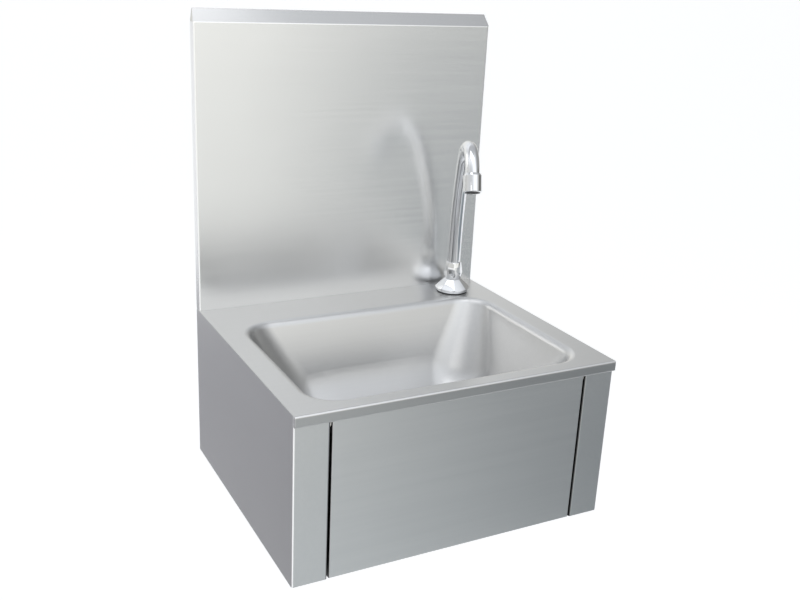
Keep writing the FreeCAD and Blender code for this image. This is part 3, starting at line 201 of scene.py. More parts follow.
world = bpy.data.worlds.new("soft_white")
scene.world = world
world.use_nodes = True
sky = world.node_tree
direction = sky.nodes.new("ShaderNodeTexCoord").outputs["Generated"]
upward = along_axis(sky, first=direction, second=(0, 0, 1))
shade = graded(sky, upward, HORIZON, ZENITH, *RISE)
for axis, glow, start, end in DIMS:
    aside = along_axis(sky, first=direction, second=axis)
    fall = graded(sky, aside, WHITE, (glow, glow, glow), start, end)
    shade = times(sky, first=shade, second=fall)
camera_ray = sky.nodes.new("ShaderNodeLightPath").outputs["Is Camera Ray"]
shown = tinted(sky, camera_ray, WHITE, WHITE)
sky.links.new(shade, shown.node.inputs[MIX_LOW])
sky.links.new(shown, sky.nodes["Background"].inputs["Color"])
print("world dims in", len(DIMS), "directions")

# %% Grey cards
CARD_LIFT = 0.02
NEAR_SHADES = (0.72, 0.77, 0.79), (0.25, 0.28, 0.30), 0.1, 1.5      # along X
LIFT_SHADES = (0.66, 0.64, 0.58), (0.49, 0.48, 0.44), -16.0, -2.6   # along Y
PLAIN_SHADES = (0.41, 0.43, 0.44), (0.46, 0.48, 0.49), -14.0, -5.5  # along Y
SIDE_SHADES = (0.36, 0.36, 0.38), (0.40, 0.40, 0.43), 0.0, 2.0      # along Y
LEFT_WEDGE = (-0.60, -0.26)                                         # of X over Y


def near_shading(tree, x, y):
    """Under the knees: grey on the left, darker to the right."""
    return graded(tree, x, *NEAR_SHADES)


def far_shading(tree, x, y):
    """Out in front: grey close by and far off on the right, bright far off on the left."""
    slope = number(tree, operation="DIVIDE", first=x, second=y)
    left = graded(tree, slope, BLACK, WHITE, *LEFT_WEDGE)
    lift = times(tree, first=left, second=graded(tree, y, *LIFT_SHADES))
    return colour_sum(tree, first=lift, second=graded(tree, y, *PLAIN_SHADES))


def side_shading(tree, x, y):
    """Beside the cabinet: nearly even grey."""
    return graded(tree, y, *SIDE_SHADES)


def grey_card(name, x_span, y_span, shading):
    """A glowing sheet on the floor that only reflections see; shading(tree, x, y) colours it."""
    bpy.ops.object.select_all(action="DESELECT")
    bpy.ops.mesh.primitive_plane_add(size=1)
    card = bpy.context.object
    card.name = name
    centre = (sum(x_span) / 2, sum(y_span) / 2, floor_z + CARD_LIFT)
    spread = Matrix.Diagonal((x_span[1] - x_span[0], y_span[1] - y_span[0], 1, 1))
    card.data.transform(Matrix.Translation(centre) @ spread)
    material = bpy.data.materials.new(name)
    material.use_nodes = True
    tree = material.node_tree
    tree.nodes.remove(tree.nodes["Principled BSDF"])
    glow = tree.nodes.new("ShaderNodeEmission")
    place = own_place(tree)
    tree.links.new(shading(tree, place["X"], place["Y"]), glow.inputs["Color"])
    tree.links.new(glow.outputs[0], tree.nodes["Material Output"].inputs["Surface"])
    card.data.materials.append(material)
    card.visible_camera = False
    card.visible_diffuse = False
    card.visible_shadow = False


grey_card("near_card", (-0.6, 3.4), (-2.4, -0.75), near_shading)
grey_card("far_card", (-20.0, 40.0), (-60.0, -2.4), far_shading)
grey_card("side_card", (-3.2, -0.45), (-0.6, 3.2), side_shading)

# %% Soft boxes
WARM = (1.0, 0.985, 0.96)


def soft_box(name, place, target, width, height, watts, colour):
    """A large even light at a place, turned to a target."""
    light = bpy.data.lights.new(name, "AREA")
    light.shape = "RECTANGLE"
    light.size = width
    light.size_y = height
    light.energy = watts
    light.color = colour
    lamp = bpy.data.objects.new(name, light)
    scene.collection.objects.link(lamp)
    look = (Vector(target) - Vector(place)).to_track_quat("-Z", "Y")
    lamp.matrix_world = Matrix.Translation(place) @ look.to_matrix().to_4x4()
    lamp.visible_camera = False


soft_box("overhead", (-0.2, -0.2, 2.2), (0.0, -0.1, 0.1), 1.6, 1.0, 5, WHITE)
soft_box("key", (-1.6, -2.0, 1.3), (0.0, 0.0, 0.2), 1.2, 1.0, 6, WARM)

# %% [markdown]
# ## Shader helpers
# All finishes read Object coordinates: every piece has its place in its own mesh, in metres, so a
# scratch that is 0.3 mm wide on one panel is 0.3 mm wide on all of them. A noise whose space is
# squeezed along one axis makes grain, and a rounded-normal test finds the edges that hands and
# polish have brightened.

# %% Shader helpers
MM = 0.001
BEVEL_SAMPLES = 4
SOFT_EDGE = 0.0005          # radius that catches the light on a sharp CAD edge
WORN_FROM, WORN_TO = 0.98, 0.75     # rounded against flat normal, from no wear to full wear


def new_finish(name):
    """A material, its node tree and its Principled shader."""
    material = bpy.data.materials.new(name)
    material.use_nodes = True
    tree = material.node_tree
    return material, tree, tree.nodes["Principled BSDF"]


def noise_at(tree, per_metre, detail=2.0, rough=0.5):
    """Noise on Object coordinates, with a number of grains per metre along each axis."""
    place = tree.nodes.new("ShaderNodeTexCoord")
    squeeze = tree.nodes.new("ShaderNodeMapping")
    squeeze.inputs["Scale"].default_value = per_metre
    noise = tree.nodes.new("ShaderNodeTexNoise")
    noise.inputs["Scale"].default_value = 1.0
    noise.inputs["Detail"].default_value = detail
    noise.inputs["Roughness"].default_value = rough
    tree.links.new(place.outputs["Object"], squeeze.inputs["Vector"])
    tree.links.new(squeeze.outputs["Vector"], noise.inputs["Vector"])
    return noise.outputs["Fac"]


def rounded_normal(tree, radius):
    """The surface's normal, as if its edges were rounded."""
    rounded = tree.nodes.new("ShaderNodeBevel")
    rounded.samples = BEVEL_SAMPLES
    rounded.inputs["Radius"].default_value = radius
    return rounded.outputs["Normal"]


def edge_wear(tree, radius):
    """One on an outer edge within the radius, nought on flats."""
    flat = tree.nodes.new("ShaderNodeNewGeometry").outputs["Normal"]
    likeness = along_axis(tree, first=rounded_normal(tree, radius), second=flat)
    return mapped(tree, likeness, 1.0, 0.0, WORN_TO, WORN_FROM)


def place_mask(tree, part, low, high):
    """Nought at one coordinate and one at another, along X, Y or Z, or the size of X."""
    value = own_place(tree)[part[-1]]
    if part == "size of X":
        value = number(tree, operation="ABSOLUTE", first=value)
    return mapped(tree, value, 0.0, 1.0, low, high)


def faces_toward(tree, axis, low, high):
    """One where the surface faces along an axis, nought where it faces away from it."""
    face = tree.nodes.new("ShaderNodeNewGeometry").outputs["Normal"]
    return mapped(tree, along_axis(tree, first=face, second=axis), 0.0, 1.0, low, high)


def bumped(tree, shader, layers):
    """Stacks bumps of (height source, distance in metres, strength) on softened edges."""
    below = rounded_normal(tree, SOFT_EDGE)
    for height, distance, strength in layers:
        bump = tree.nodes.new("ShaderNodeBump")
        bump.inputs["Distance"].default_value = distance
        bump.inputs["Strength"].default_value = strength
        tree.links.new(height, bump.inputs["Height"])
        tree.links.new(below, bump.inputs["Normal"])
        below = bump.outputs["Normal"]
    tree.links.new(below, shader.inputs["Normal"])


print("edges soften within", SOFT_EDGE / MM, "mm")

# %% [markdown]
# ## Brushed stainless sheet
# The panels are cut from sheet that was brushed in one direction at the mill. Under a lens that is
# thousands of fine scratches side by side: a reflection stays sharp along them and smears across
# them. Three things make it here: fine stretched noise in the bump, wider streaks in the
# roughness and the colour, and the shader's own anisotropy. Slow waves in a second bump bend the
# reflections a little, as no thin sheet is quite flat. Masks by place and by facing paint light
# and shade into the sheet's colour: painted highlights on some folds, painted shade on others, on
# the lip's face and on the splashback's top bevel, nearly black painted shade on the flanges in the
# narrow gaps beside the knee panel, and painted shade in the basin, deeper towards its floor and in
# its rear-right corner.

# %% Brushed sheet finish
X, Y, UP = (1, 0, 0), (0, 1, 0), (0, 0, 1)
DOWN = (0, 0, -1)
ALONG = 9.0                 # grains per metre along the brushing
ACROSS = 2600.0             # and across it
STREAK_ALONG, STREAK_ACROSS = 0.4, 0.09     # streaks for each grain
CLOUDS = (7, 7, 7)
GRAIN_DEPTH = 0.00004
WAVE_DEPTH = 0.0012
RUBBED_EDGE = 0.0009
LIGHT_STREAK = (1.02, 1.025, 1.03)          # of the sheet's tone
DARK_STREAK = (0.975, 0.98, 0.985)


def brushed_sheet(name, grain_axis, across_axis, tone=0.60, gloss=0.30, stretch=0.55, grain=0.10,
                  painted_light=()):
    """Sheet brushed along one axis; painted_light lists (masks, gain of painted light and shade)."""
    material, tree, shader = new_finish(name)
    along = [ACROSS] * 3
    along[grain_axis] = ALONG
    wide = [v * STREAK_ACROSS for v in along]
    wide[grain_axis] = ALONG * STREAK_ALONG
    fine = noise_at(tree, along, 3.0)
    streaks = noise_at(tree, wide, 2.0)
    clouds = noise_at(tree, CLOUDS, 2.0)
    mixed = number(tree, operation="ADD", first=mapped(tree, streaks, 0.0, 0.5),
                   second=mapped(tree, clouds, 0.0, 0.5))
    dark = tuple(tone * c for c in DARK_STREAK)
    light = tuple(min(1.0, tone * c) for c in LIGHT_STREAK)
    colour = tinted(tree, mixed, dark, light)
    # Painted light and shade: where all the masks hold, a gain below one darkens the colour as
    # painted shade, above one lightens it as a painted highlight.
    for masks, glow in painted_light:
        place = masks[0](tree)
        for mask in masks[1:]:
            place = number(tree, operation="MULTIPLY", first=place, second=mask(tree))
        colour = times(tree, first=colour, second=tinted(tree, place, WHITE, (glow, glow, glow)))
    tree.links.new(colour, shader.inputs["Base Color"])
    rubbed = mapped(tree, edge_wear(tree, RUBBED_EDGE), 0.0, -0.08, 0.0, 1.0)
    rough = number(tree, operation="ADD", first=mapped(tree, streaks, gloss - 0.015, gloss + 0.02),
                   second=rubbed)
    tree.links.new(rough, shader.inputs["Roughness"])
    shader.inputs["Metallic"].default_value = 1.0
    shader.inputs["Anisotropic"].default_value = stretch
    across = tree.nodes.new("ShaderNodeCombineXYZ")
    for k in range(3):
        across.inputs[k].default_value = across_axis[k]
    tree.links.new(across.outputs[0], shader.inputs["Tangent"])
    bumped(tree, shader, [(clouds, WAVE_DEPTH, 0.12), (streaks, GRAIN_DEPTH, 0.04),
                          (fine, GRAIN_DEPTH, grain)])
    return material


print("grain every", round(1000 / ACROSS, 2), "mm")

# %% Masks on the sheet work
FRONT_Y = -0.336            # front returns and knee panel
LIP_Y = -0.340
DECK_Z = 0.105
BASIN_FLOOR_Z = -0.015
SIDE_X = 0.200              # outside of a side panel
GAP_X = 0.1595              # edge of a front return, at the gap

# Masks for the nearly black painted shade on the flanges in the narrow gaps beside the knee panel.
BEHIND_FRONT = partial(place_mask, part="Y", low=FRONT_Y + 0.0006, high=FRONT_Y + 0.0014)
NEAR_FRONT = partial(place_mask, part="Y", low=FRONT_Y + 0.008, high=FRONT_Y + 0.006)
IN_THE_GAP = partial(place_mask, part="size of X", low=GAP_X + 0.0065, high=GAP_X + 0.0035)
GAP_EDGE = partial(place_mask, part="size of X", low=GAP_X + 0.0019, high=GAP_X + 0.0011)
OUTER_CORNER = partial(place_mask, part="size of X", low=SIDE_X - 0.010, high=SIDE_X - 0.006)
LIP_PLACE = partial(place_mask, part="Y", low=LIP_Y + 0.0025, high=LIP_Y + 0.0015)
# Painted shade in the basin, deeper towards its floor.
BASIN_SHADE_DEPTH = partial(place_mask, part="Z", low=DECK_Z - 0.005, high=BASIN_FLOOR_Z)
# Facings for painted light: highlights on folds, shade on the lip's face, the splashback's top
# bevel, the knee panel's side folds and the basin's rear-right corner.
LIP_FACE = partial(faces_toward, axis=(0, -1, 0), low=0.5, high=0.95)
BEVEL_FACE = partial(faces_toward, axis=UP, low=0.1, high=0.5)
REAR_RIGHT = partial(faces_toward, axis=(-0.67, -0.67, 0.31), low=0.86, high=0.97)
RIGHT_FOLD = partial(faces_toward, axis=X, low=0.2, high=0.5)
LEFT_FOLD = partial(faces_toward, axis=(-1, 0, 0), low=0.2, high=0.5)
CORNER_FOLD = partial(faces_toward, axis=(-0.707, -0.707, 0), low=0.86, high=0.95)
LIP_FOLD = partial(faces_toward, axis=(0, -0.707, 0.707), low=0.86, high=0.95)
TOP_FOLD = partial(faces_toward, axis=(0, -0.93, 0.37), low=0.965, high=0.99)

print("masks from", round(FRONT_Y / MM), "mm at the front to", round(DECK_Z / MM), "mm at the deck")

# %% Brushed sheets
# Painted light and shade, as (masks, gain). The knee panel gets nearly black painted shade on its
# flanges in the gaps beside it and painted shade on its side folds.
FRONT_PAINTED_SHADE = (((BEHIND_FRONT, NEAR_FRONT), 0.03), ((RIGHT_FOLD,), 0.2), ((LEFT_FOLD,), 0.7))
# The splashback gets painted shade on its top bevel and painted highlights on its front-left and top
# folds.
SPLASH_PAINTED_LIGHT = (((BEVEL_FACE,), 0.68), ((CORNER_FOLD,), 1.3), ((TOP_FOLD,), 1.5))
# The side panels get nearly black painted shade in the gaps beside the knee panel, painted shade at
# the gaps' edges and a painted highlight on their front corner fold.
SIDE_PAINTED_LIGHT = (((BEHIND_FRONT, NEAR_FRONT, IN_THE_GAP), 0.03), ((GAP_EDGE,), 0.12),
              ((CORNER_FOLD, OUTER_CORNER), 1.7))
# The sink top gets painted shade on the lip's face, a painted highlight on the lip's fold, and
# painted shade in the basin, deeper towards its floor and in its rear-right corner.
TOP_PAINTED_LIGHT = (((LIP_FACE, LIP_PLACE), 0.70), ((LIP_FOLD, LIP_PLACE), 1.45),
             ((BASIN_SHADE_DEPTH,), 0.83), ((BASIN_SHADE_DEPTH, REAR_RIGHT), 0.82))

BRUSHED_FRONT = brushed_sheet("brushed_front", 0, UP, painted_light=FRONT_PAINTED_SHADE)
# The splashback is the same steel with a lighter tone, 0.80 against 0.60: painted light, for the
# brighter light it catches.
BRUSHED_SPLASH = brushed_sheet("brushed_splashback", 0, UP, tone=0.80, gloss=0.25,
                               painted_light=SPLASH_PAINTED_LIGHT)
BRUSHED_SIDE = brushed_sheet("brushed_side", 1, (0.12, 0, 1), painted_light=SIDE_PAINTED_LIGHT)
BRUSHED_TOP = brushed_sheet("brushed_top", 0, (0, 1, -0.2), tone=0.65, stretch=0.0, grain=0.05,
                            painted_light=TOP_PAINTED_LIGHT)
MILL_SHEET = brushed_sheet("mill_sheet", 0, UP, tone=0.5, gloss=0.38, stretch=0.2)
print("brushed finishes:", [m.name for m in bpy.data.materials if m.name.startswith("brushed")])

# %% [markdown]
# ## Chrome, plated brass and bright steel
# Polished chrome is nearly a mirror, but never a perfect one: it has faint water marks that
# roughen it here and there, and its edges are softened by buffing. The nickel-plated brass inside
# the cabinet is warmer and duller, with a cast skin.

# %% Plated finishes
MARKS = (160, 160, 160)     # grains per metre
VEIL = (28, 28, 28)
PLATE_SKIN = (1500, 1500, 1500)
VEIL_DEPTH = 0.00008
SKIN_DEPTH = 0.00002
BUFFED_EDGE = 0.0005


def polished(name, tone, roughness, spots=0.05, cast=0.0):
    """A plated or bright metal; spots are rougher marks and cast is the depth of a cast skin."""
    material, tree, shader = new_finish(name)
    marks = noise_at(tree, MARKS, 4.0, 0.6)
    veil = noise_at(tree, VEIL, 2.0)
    skin = noise_at(tree, PLATE_SKIN, 2.0)
    buffed = mapped(tree, edge_wear(tree, BUFFED_EDGE), 0.0, 0.05, 0.0, 1.0)
    spotted = mapped(tree, marks, roughness, roughness + spots, 0.55, 0.8)
    rough = number(tree, operation="ADD", first=spotted, second=buffed)
    tree.links.new(rough, shader.inputs["Roughness"])
    dim = tuple(c * 0.95 for c in tone)
    tree.links.new(tinted(tree, mapped(tree, veil, 0, 1), dim, tone), shader.inputs["Base Color"])
    shader.inputs["Metallic"].default_value = 1.0
    bumped(tree, shader, [(veil, VEIL_DEPTH, 0.25),
                          (skin, SKIN_DEPTH + cast, 0.06 + cast * 4000)])
    return material


CHROME = polished("polished_chrome", (0.86, 0.87, 0.89), 0.035)
BRASS = polished("nickel_plated_brass", (0.72, 0.69, 0.61), 0.22, 0.16, 0.00006)
BRIGHT_STEEL = polished("bright_steel", (0.60, 0.61, 0.62), 0.20, 0.12)
print("plated finishes:", [m.name for m in (CHROME, BRASS, BRIGHT_STEEL)])

# %% [markdown]
# ## Rubber and plastics
# Moulded rubber is black with a matt bloom, and slightly lighter where it rubs. Nylon is milky,
# with a soft shine and a faint orange-peel skin from the mould.

# %% Moulded finishes
BLOOM = (90, 90, 90)        # grains per metre
MOULD_SKIN = (1400, 1400, 1400)
SCUFFED_EDGE = 0.0006


def moulded(name, low_colour, high_colour, roughness, peel):
    """Rubber or plastic from a mould, with the depth of its skin."""
    material, tree, shader = new_finish(name)
    bloom = noise_at(tree, BLOOM, 3.0)
    skin = noise_at(tree, MOULD_SKIN, 2.0)
    scuffed = mapped(tree, edge_wear(tree, SCUFFED_EDGE), 0.0, 0.6, 0.0, 1.0)
    factor = number(tree, operation="ADD", first=mapped(tree, bloom, 0.0, 0.8), second=scuffed)
    tree.links.new(tinted(tree, factor, low_colour, high_colour), shader.inputs["Base Color"])
    rough = mapped(tree, bloom, roughness - 0.06, roughness + 0.08)
    tree.links.new(rough, shader.inputs["Roughness"])
    bumped(tree, shader, [(skin, peel, 0.25)])
    return material


RUBBER = moulded("black_rubber", (0.012, 0.012, 0.012), (0.035, 0.034, 0.033), 0.62, 0.00006)
NYLON = moulded("white_nylon", (0.70, 0.69, 0.66), (0.80, 0.79, 0.76), 0.42, 0.00003)
DARK_PLASTIC = moulded("dark_plastic", (0.045, 0.047, 0.052), (0.09, 0.092, 0.1), 0.40, 0.00004)
print("moulded finishes:", [m.name for m in (RUBBER, NYLON, DARK_PLASTIC)])

# %% Give every CAD piece its finish
FINISHES = (
    (BRUSHED_TOP, "sink_top"),
    (BRUSHED_SPLASH, "splashback"),
    (BRUSHED_FRONT, "knee_panel"),
    (BRUSHED_SIDE, "right_side_panel left_side_panel"),
    (MILL_SHEET, "upper_back_rail lower_back_rail valve_rail"),
    (BRIGHT_STEEL, "splashback_screws right_hinge_pin left_hinge_pin hinge_nuts waste_screw "
                   "waste_strainer valve_spring valve_hose_ferrule tap_hose_ferrule supply_hose"),
    (CHROME, "tap_base tap_collar spout_tube aerator_housing valve_button valve_stem"),
    (BRASS, "valve_body valve_bonnet valve_locknut mixing_body mixing_spindle union_nut cold_inlet "
            "hot_inlet tap_shank tap_backnut spout_foot valve_hose_nut tap_hose_nut"),
    (RUBBER, "tap_gasket tap_washer spout_rings aerator_gasket waste_upper_seal waste_lower_seal "
             "stop_buffers"),
    (NYLON, "waste_body hinge_bushes hinge_washers slip_ring push_pad"),
    (DARK_PLASTIC, "mixing_knob aerator_insert"),
)
finished = set()
for finish, names in FINISHES:
    for name in names.split():
        slots = nodes[name].data.materials
        slots.clear()
        slots.append(finish)
        finished.add(name)
print("finished", len(finished), "of", len(nodes), "nodes; bare:", sorted(set(nodes) - finished))

# %% [markdown]
# ## Turned and milled fittings
# Most fittings start on a lathe and get their flats on a mill. Here a circle that is extruded and
# resized from ring to ring is the lathe's part. Bisecting it with a plane, clearing what is outside
# and filling the cut, is the milled flat. The same two steps make the tap's base, its collar and
# every nut, and a Bevel modifier then breaks the edges, as buffing does before the chrome.

# %% Turned and milled forms
ROUND = 96                  # sides of a turned form
MERGE = 0.002 * MM
CUT_MERGE = 0.001 * MM
SMOOTH_UNDER = 32.0         # degrees


def start_edit():
    """Opens the active piece in edit mode, selected all over."""
    bpy.ops.object.mode_set(mode="EDIT")
    bpy.ops.mesh.select_all(action="SELECT")


def turned(name, profile):
    """Turned from (radius, height) points in millimetres, up the outside and down the bore."""
    points = [(r * MM, z * MM) for r, z in profile + profile[:1]]
    radius, height = points[0]
    bpy.ops.object.select_all(action="DESELECT")
    bpy.ops.mesh.primitive_circle_add(vertices=ROUND, radius=radius, location=(0, 0, 0))
    piece = bpy.context.object
    piece.name = piece.data.name = name
    start_edit()
    bpy.ops.transform.translate(value=(0, 0, height))
    for next_radius, next_height in points[1:]:
        rise = (0, 0, next_height - height)
        bpy.ops.mesh.extrude_region_move(TRANSFORM_OT_translate={"value": rise})
        grow = next_radius / radius
        bpy.ops.transform.resize(value=(grow, grow, 1))
        radius, height = next_radius, next_height
    bpy.ops.mesh.select_all(action="SELECT")
    bpy.ops.mesh.remove_doubles(threshold=MERGE)
    bpy.ops.mesh.normals_make_consistent(inside=False)
    bpy.ops.object.mode_set(mode="OBJECT")
    return piece


def mill(piece, flats, distance, height, slope=0.0):
    """Flats all round, at a distance from the axis at one height, coming in by slope going up."""
    start_edit()
    for k in range(flats):
        angle = 2 * math.pi * k / flats
        out = Vector((math.cos(angle), math.sin(angle), 0))
        bpy.ops.mesh.select_all(action="SELECT")
        bpy.ops.mesh.bisect(plane_co=out * distance * MM + Vector((0, 0, height * MM)),
                            plane_no=(out.x, out.y, slope), use_fill=True, clear_outer=True,
                            threshold=CUT_MERGE)
    bpy.ops.object.mode_set(mode="OBJECT")


def modified(piece, kind, **settings):
    """Adds a modifier with its settings and applies it."""
    step = piece.modifiers.new(kind.lower(), kind)
    for key, value in settings.items():
        setattr(step, key, value)
    bpy.context.view_layer.objects.active = piece
    bpy.ops.object.modifier_apply(modifier=step.name)


def soften(piece, width, angle):
    """Rounds every edge sharper than an angle in degrees."""
    modified(piece, "BEVEL", width=width * MM, segments=3, limit_method="ANGLE",
             angle_limit=math.radians(angle), use_clamp_overlap=False)


def placed(at, along=UP):
    """A matrix that stands the Z axis along a direction, at a place in metres."""
    return Matrix.Translation(at) @ Vector(along).to_track_quat("Z", "Y").to_matrix().to_4x4()


def fit(piece, material, node, body, matrix, smooth=SMOOTH_UNDER):
    """Puts a piece in its place, gives it its finish and lets it stand for its CAD node."""
    piece.data.transform(matrix)
    bpy.ops.object.select_all(action="DESELECT")
    piece.select_set(True)
    bpy.context.view_layer.objects.active = piece
    bpy.ops.object.shade_smooth_by_angle(angle=math.radians(smooth))
    piece.data.materials.clear()
    piece.data.materials.append(material)
    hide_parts(node)
    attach(piece, body)
    spread = [max(column) - min(column) for column in zip(*(v.co for v in piece.data.vertices))]
    print(piece.name, [round(s / MM, 1) for s in spread], "mm,", len(piece.data.polygons), "faces")


# %% [markdown]
# ## The tap's base and collar
# The base is a cone on an upright rim, with eight flats that run down from the collar and fade out
# at the rim. The collar above it swells to a waistline and tapers again, with flats in line with
# the base's. Its bore is stepped, for the neck below and the swivelling spout above.

# %% Tap base and collar
TAP_PLACE = Vector((0.1485, -0.0463, DECK_Z))
TAP_FLATS = 8
CAST_ANGLE = 24.0           # degrees; sharper edges are buffed round
BASE_TOP = 18.0             # heights are above the deck, in millimetres
BASE_FLAT = 10.7            # from the axis, at the base's top
CONE_SLOPE = 1.2476         # how far a flat comes in for each millimetre up
WAIST = 27.0
COLLAR_FLAT = 12.3          # from the axis, at the waistline
ABOVE_WAIST, BELOW_WAIST = 0.16, -0.2       # slopes of the collar's flats

base = turned("faceted_tap_base", [
    (21.0, 1.0), (21.8, 1.5), (23.8, 6.3), (23.8, 7.5), (11.6, BASE_TOP), (8.05, BASE_TOP),
    (8.05, 13.0), (13.0, 13.0), (19.3, 5.0), (19.3, 1.0)])
mill(base, TAP_FLATS, BASE_FLAT, BASE_TOP, slope=CONE_SLOPE)
soften(base, 0.45, CAST_ANGLE)
fit(base, CHROME, "tap_base", "cabinet", placed(TAP_PLACE))

collar = turned("faceted_tap_collar", [
    (11.0, 18.05), (12.85, WAIST), (10.35, 42.0), (9.07, 42.0), (9.07, 34.0), (9.75, 34.0),
    (9.75, 30.0), (8.05, 27.0), (8.05, 18.05)])
for slope in (ABOVE_WAIST, BELOW_WAIST):
    mill(collar, TAP_FLATS, COLLAR_FLAT, WAIST, slope)
soften(collar, 0.3, CAST_ANGLE)
fit(collar, CHROME, "tap_collar", "cabinet", placed(TAP_PLACE))

# %% [markdown]
# ## The aerator
# A swivel spout ends in a screwed sleeve with a plastic insert. From below it shows a honeycomb
# screen inside a ring. One cell is a six-sided cylinder without ends; copies of it in rows make the
# screen, and those that would reach beyond the ring are left out.

# %% Aerator insert
SPOUT_TURN = math.radians(22.5)     # from straight ahead, towards the basin's middle
SPOUT_TIP = math.radians(156.5)     # from straight up
AHEAD = Vector((-math.sin(SPOUT_TURN), -math.cos(SPOUT_TURN), 0))
WATER_WAY = AHEAD * math.sin(SPOUT_TIP) + Vector((0, 0, math.cos(SPOUT_TIP)))
SPOUT_END = Vector((0.107201, -0.146004, 0.285240))
CELL = 1.9                  # across a honeycomb cell, millimetres
CELL_WALL = 0.28
CELL_ROWS = range(-5, 6)
SCREEN = (12.0, 15.2)       # its top and underside, along the water's way
SCREEN_R = 7.6


def joined(parts, name):
    """Several objects made one."""
    bpy.ops.object.select_all(action="DESELECT")
    for part in parts:
        part.select_set(True)
    bpy.context.view_layer.objects.active = parts[0]
    bpy.ops.object.join()
    parts[0].name = parts[0].data.name = name
    return parts[0]


def copied(piece, shift):
    """A copy with its own mesh, moved by millimetres."""
    twin = piece.copy()
    twin.data = piece.data.copy()
    twin.data.transform(Matrix.Translation(Vector(shift) * MM))
    scene.collection.objects.link(twin)
    return twin


ring = turned("insert_ring", [(9.3, 1.9), (9.5, 2.2), (9.5, 15.9), (9.2, 16.3), (8.1, 16.3),
                              (7.6, 15.4), (7.6, 1.9)])
bpy.ops.object.select_all(action="DESELECT")
bpy.ops.mesh.primitive_cylinder_add(vertices=6, radius=CELL / math.sqrt(3) * MM,
                                    depth=(SCREEN[1] - SCREEN[0]) * MM, end_fill_type="NOTHING",
                                    location=(0, 0, 0))
cell = bpy.context.object
cell.data.transform(Matrix.Translation((0, 0, sum(SCREEN) / 2 * MM)))
modified(cell, "SOLIDIFY", thickness=CELL_WALL * MM, offset=0.0)
cells = []
for row in CELL_ROWS:
    for column in CELL_ROWS:
        spot = (row * CELL * math.sqrt(3) / 2, (column + (row % 2) / 2) * CELL)
        if math.hypot(*spot) < SCREEN_R:
            cells.append(copied(cell, (*spot, 0)))
bpy.data.objects.remove(cell)
insert = joined([ring] + cells, "honeycomb_insert")
fit(insert, DARK_PLASTIC, "aerator_insert", "spout", placed(SPOUT_END, WATER_WAY))
print(len(cells), "cells in the screen")

# %% [markdown]
# ## Nuts
# A real nut is turned to a chamfer at both ends and then milled to six flats, and the chamfer shows
# as a curve on each flat. A hose nut is bored wider at its start, where its thread is, so the
# profile down the bore has a step there.

# %% Nuts
CHAMFER_ANGLE = math.radians(30)
CHAMFER_FACE = 0.96         # flat end of a nut, as a share of its width across the flats
NUT_EDGE_ANGLE = 35.0       # degrees; sharper edges are softened
NUT_DEPTH = 4.0             # thread inside a hose nut
VALVE_Z = -0.061
OUTLET = (0.018, -0.2785, VALVE_Z)
HINGE_PLACE = (0.1565, -0.328, 0.088)
NUTS = (                    # node, across flats, low, high, bore, wider start, depth, place, along
    ("union_nut", 27.0, -8.0, 1.0, 10.05, None, 0.0, (0, -0.2625, VALVE_Z), Y),
    ("valve_locknut", 34.0, -5.5, 0.0, 13.05, None, 0.0, (0, -0.298, VALVE_Z), Y),
    ("tap_backnut", 27.0, -10.0, -3.0, 10.45, None, 0.0, TAP_PLACE, UP),
    ("valve_hose_nut", 24.0, 0.0, 14.0, 7.25, 8.05, NUT_DEPTH, OUTLET, X),
    ("tap_hose_nut", 27.0, 0.0, 14.0, 7.25, 10.45, NUT_DEPTH, TAP_PLACE - Vector((0, 0, 0.035)),
     DOWN),
)


def nut(name, across, low, high, bore, wide=None, depth=0.0):
    """A six-sided nut along Z; its first millimetres may have a wider bore."""
    corner = across / math.sqrt(3)
    face = across / 2 * CHAMFER_FACE
    chamfer = (corner - face) * math.tan(CHAMFER_ANGLE)
    outside = [(face, low), (corner, low + chamfer), (corner, high - chamfer), (face, high)]
    step = [(bore, low + depth), (wide, low + depth), (wide, low)] if wide else [(bore, low)]
    piece = turned(name, outside + [(bore, high)] + step)
    mill(piece, 6, across / 2, 0.0)
    soften(piece, 0.2, NUT_EDGE_ANGLE)
    return piece


for node, across, low, high, bore, wide, depth, at, along in NUTS:
    piece = nut("chamfered_" + node, across, low, high, bore, wide, depth)
    fit(piece, BRASS, node, "cabinet", placed(at, along))

right_nut = nut("right_hinge_nut", 8.0, 4.0, 8.0, 2.55)
left_nut = copied(right_nut, (0, 0, 0))
right_nut.data.transform(placed(HINGE_PLACE, X))
left_nut.data.transform(placed((-HINGE_PLACE[0], *HINGE_PLACE[1:]), (-1, 0, 0)))
fit(joined([right_nut, left_nut], "chamfered_hinge_nuts"), BRIGHT_STEEL, "hinge_nuts", "cabinet",
    Matrix())

# %% [markdown]
# ## Threads
# A thread is a ridge that winds up round a core: the Screw modifier turns one tooth about the axis
# and lifts it by the pitch with each turn. The tooth's root is sunk a little in the core, so that
# the two read as one. The pitch is the standard one of the supply threads.

# %% Threads
PIPE_PITCH = 1.814
CORE_R = 9.3
ROOT_SUNK = 0.25            # root of the ridge inside the core
TOOTH_WIDTH = 0.98          # of the pitch
THREAD_STEPS = 48
INLET_SPREAD = 0.035        # from the mixer's middle to each inlet
MIXER_Y = -0.2425
HEXAGON_TOP = -0.071


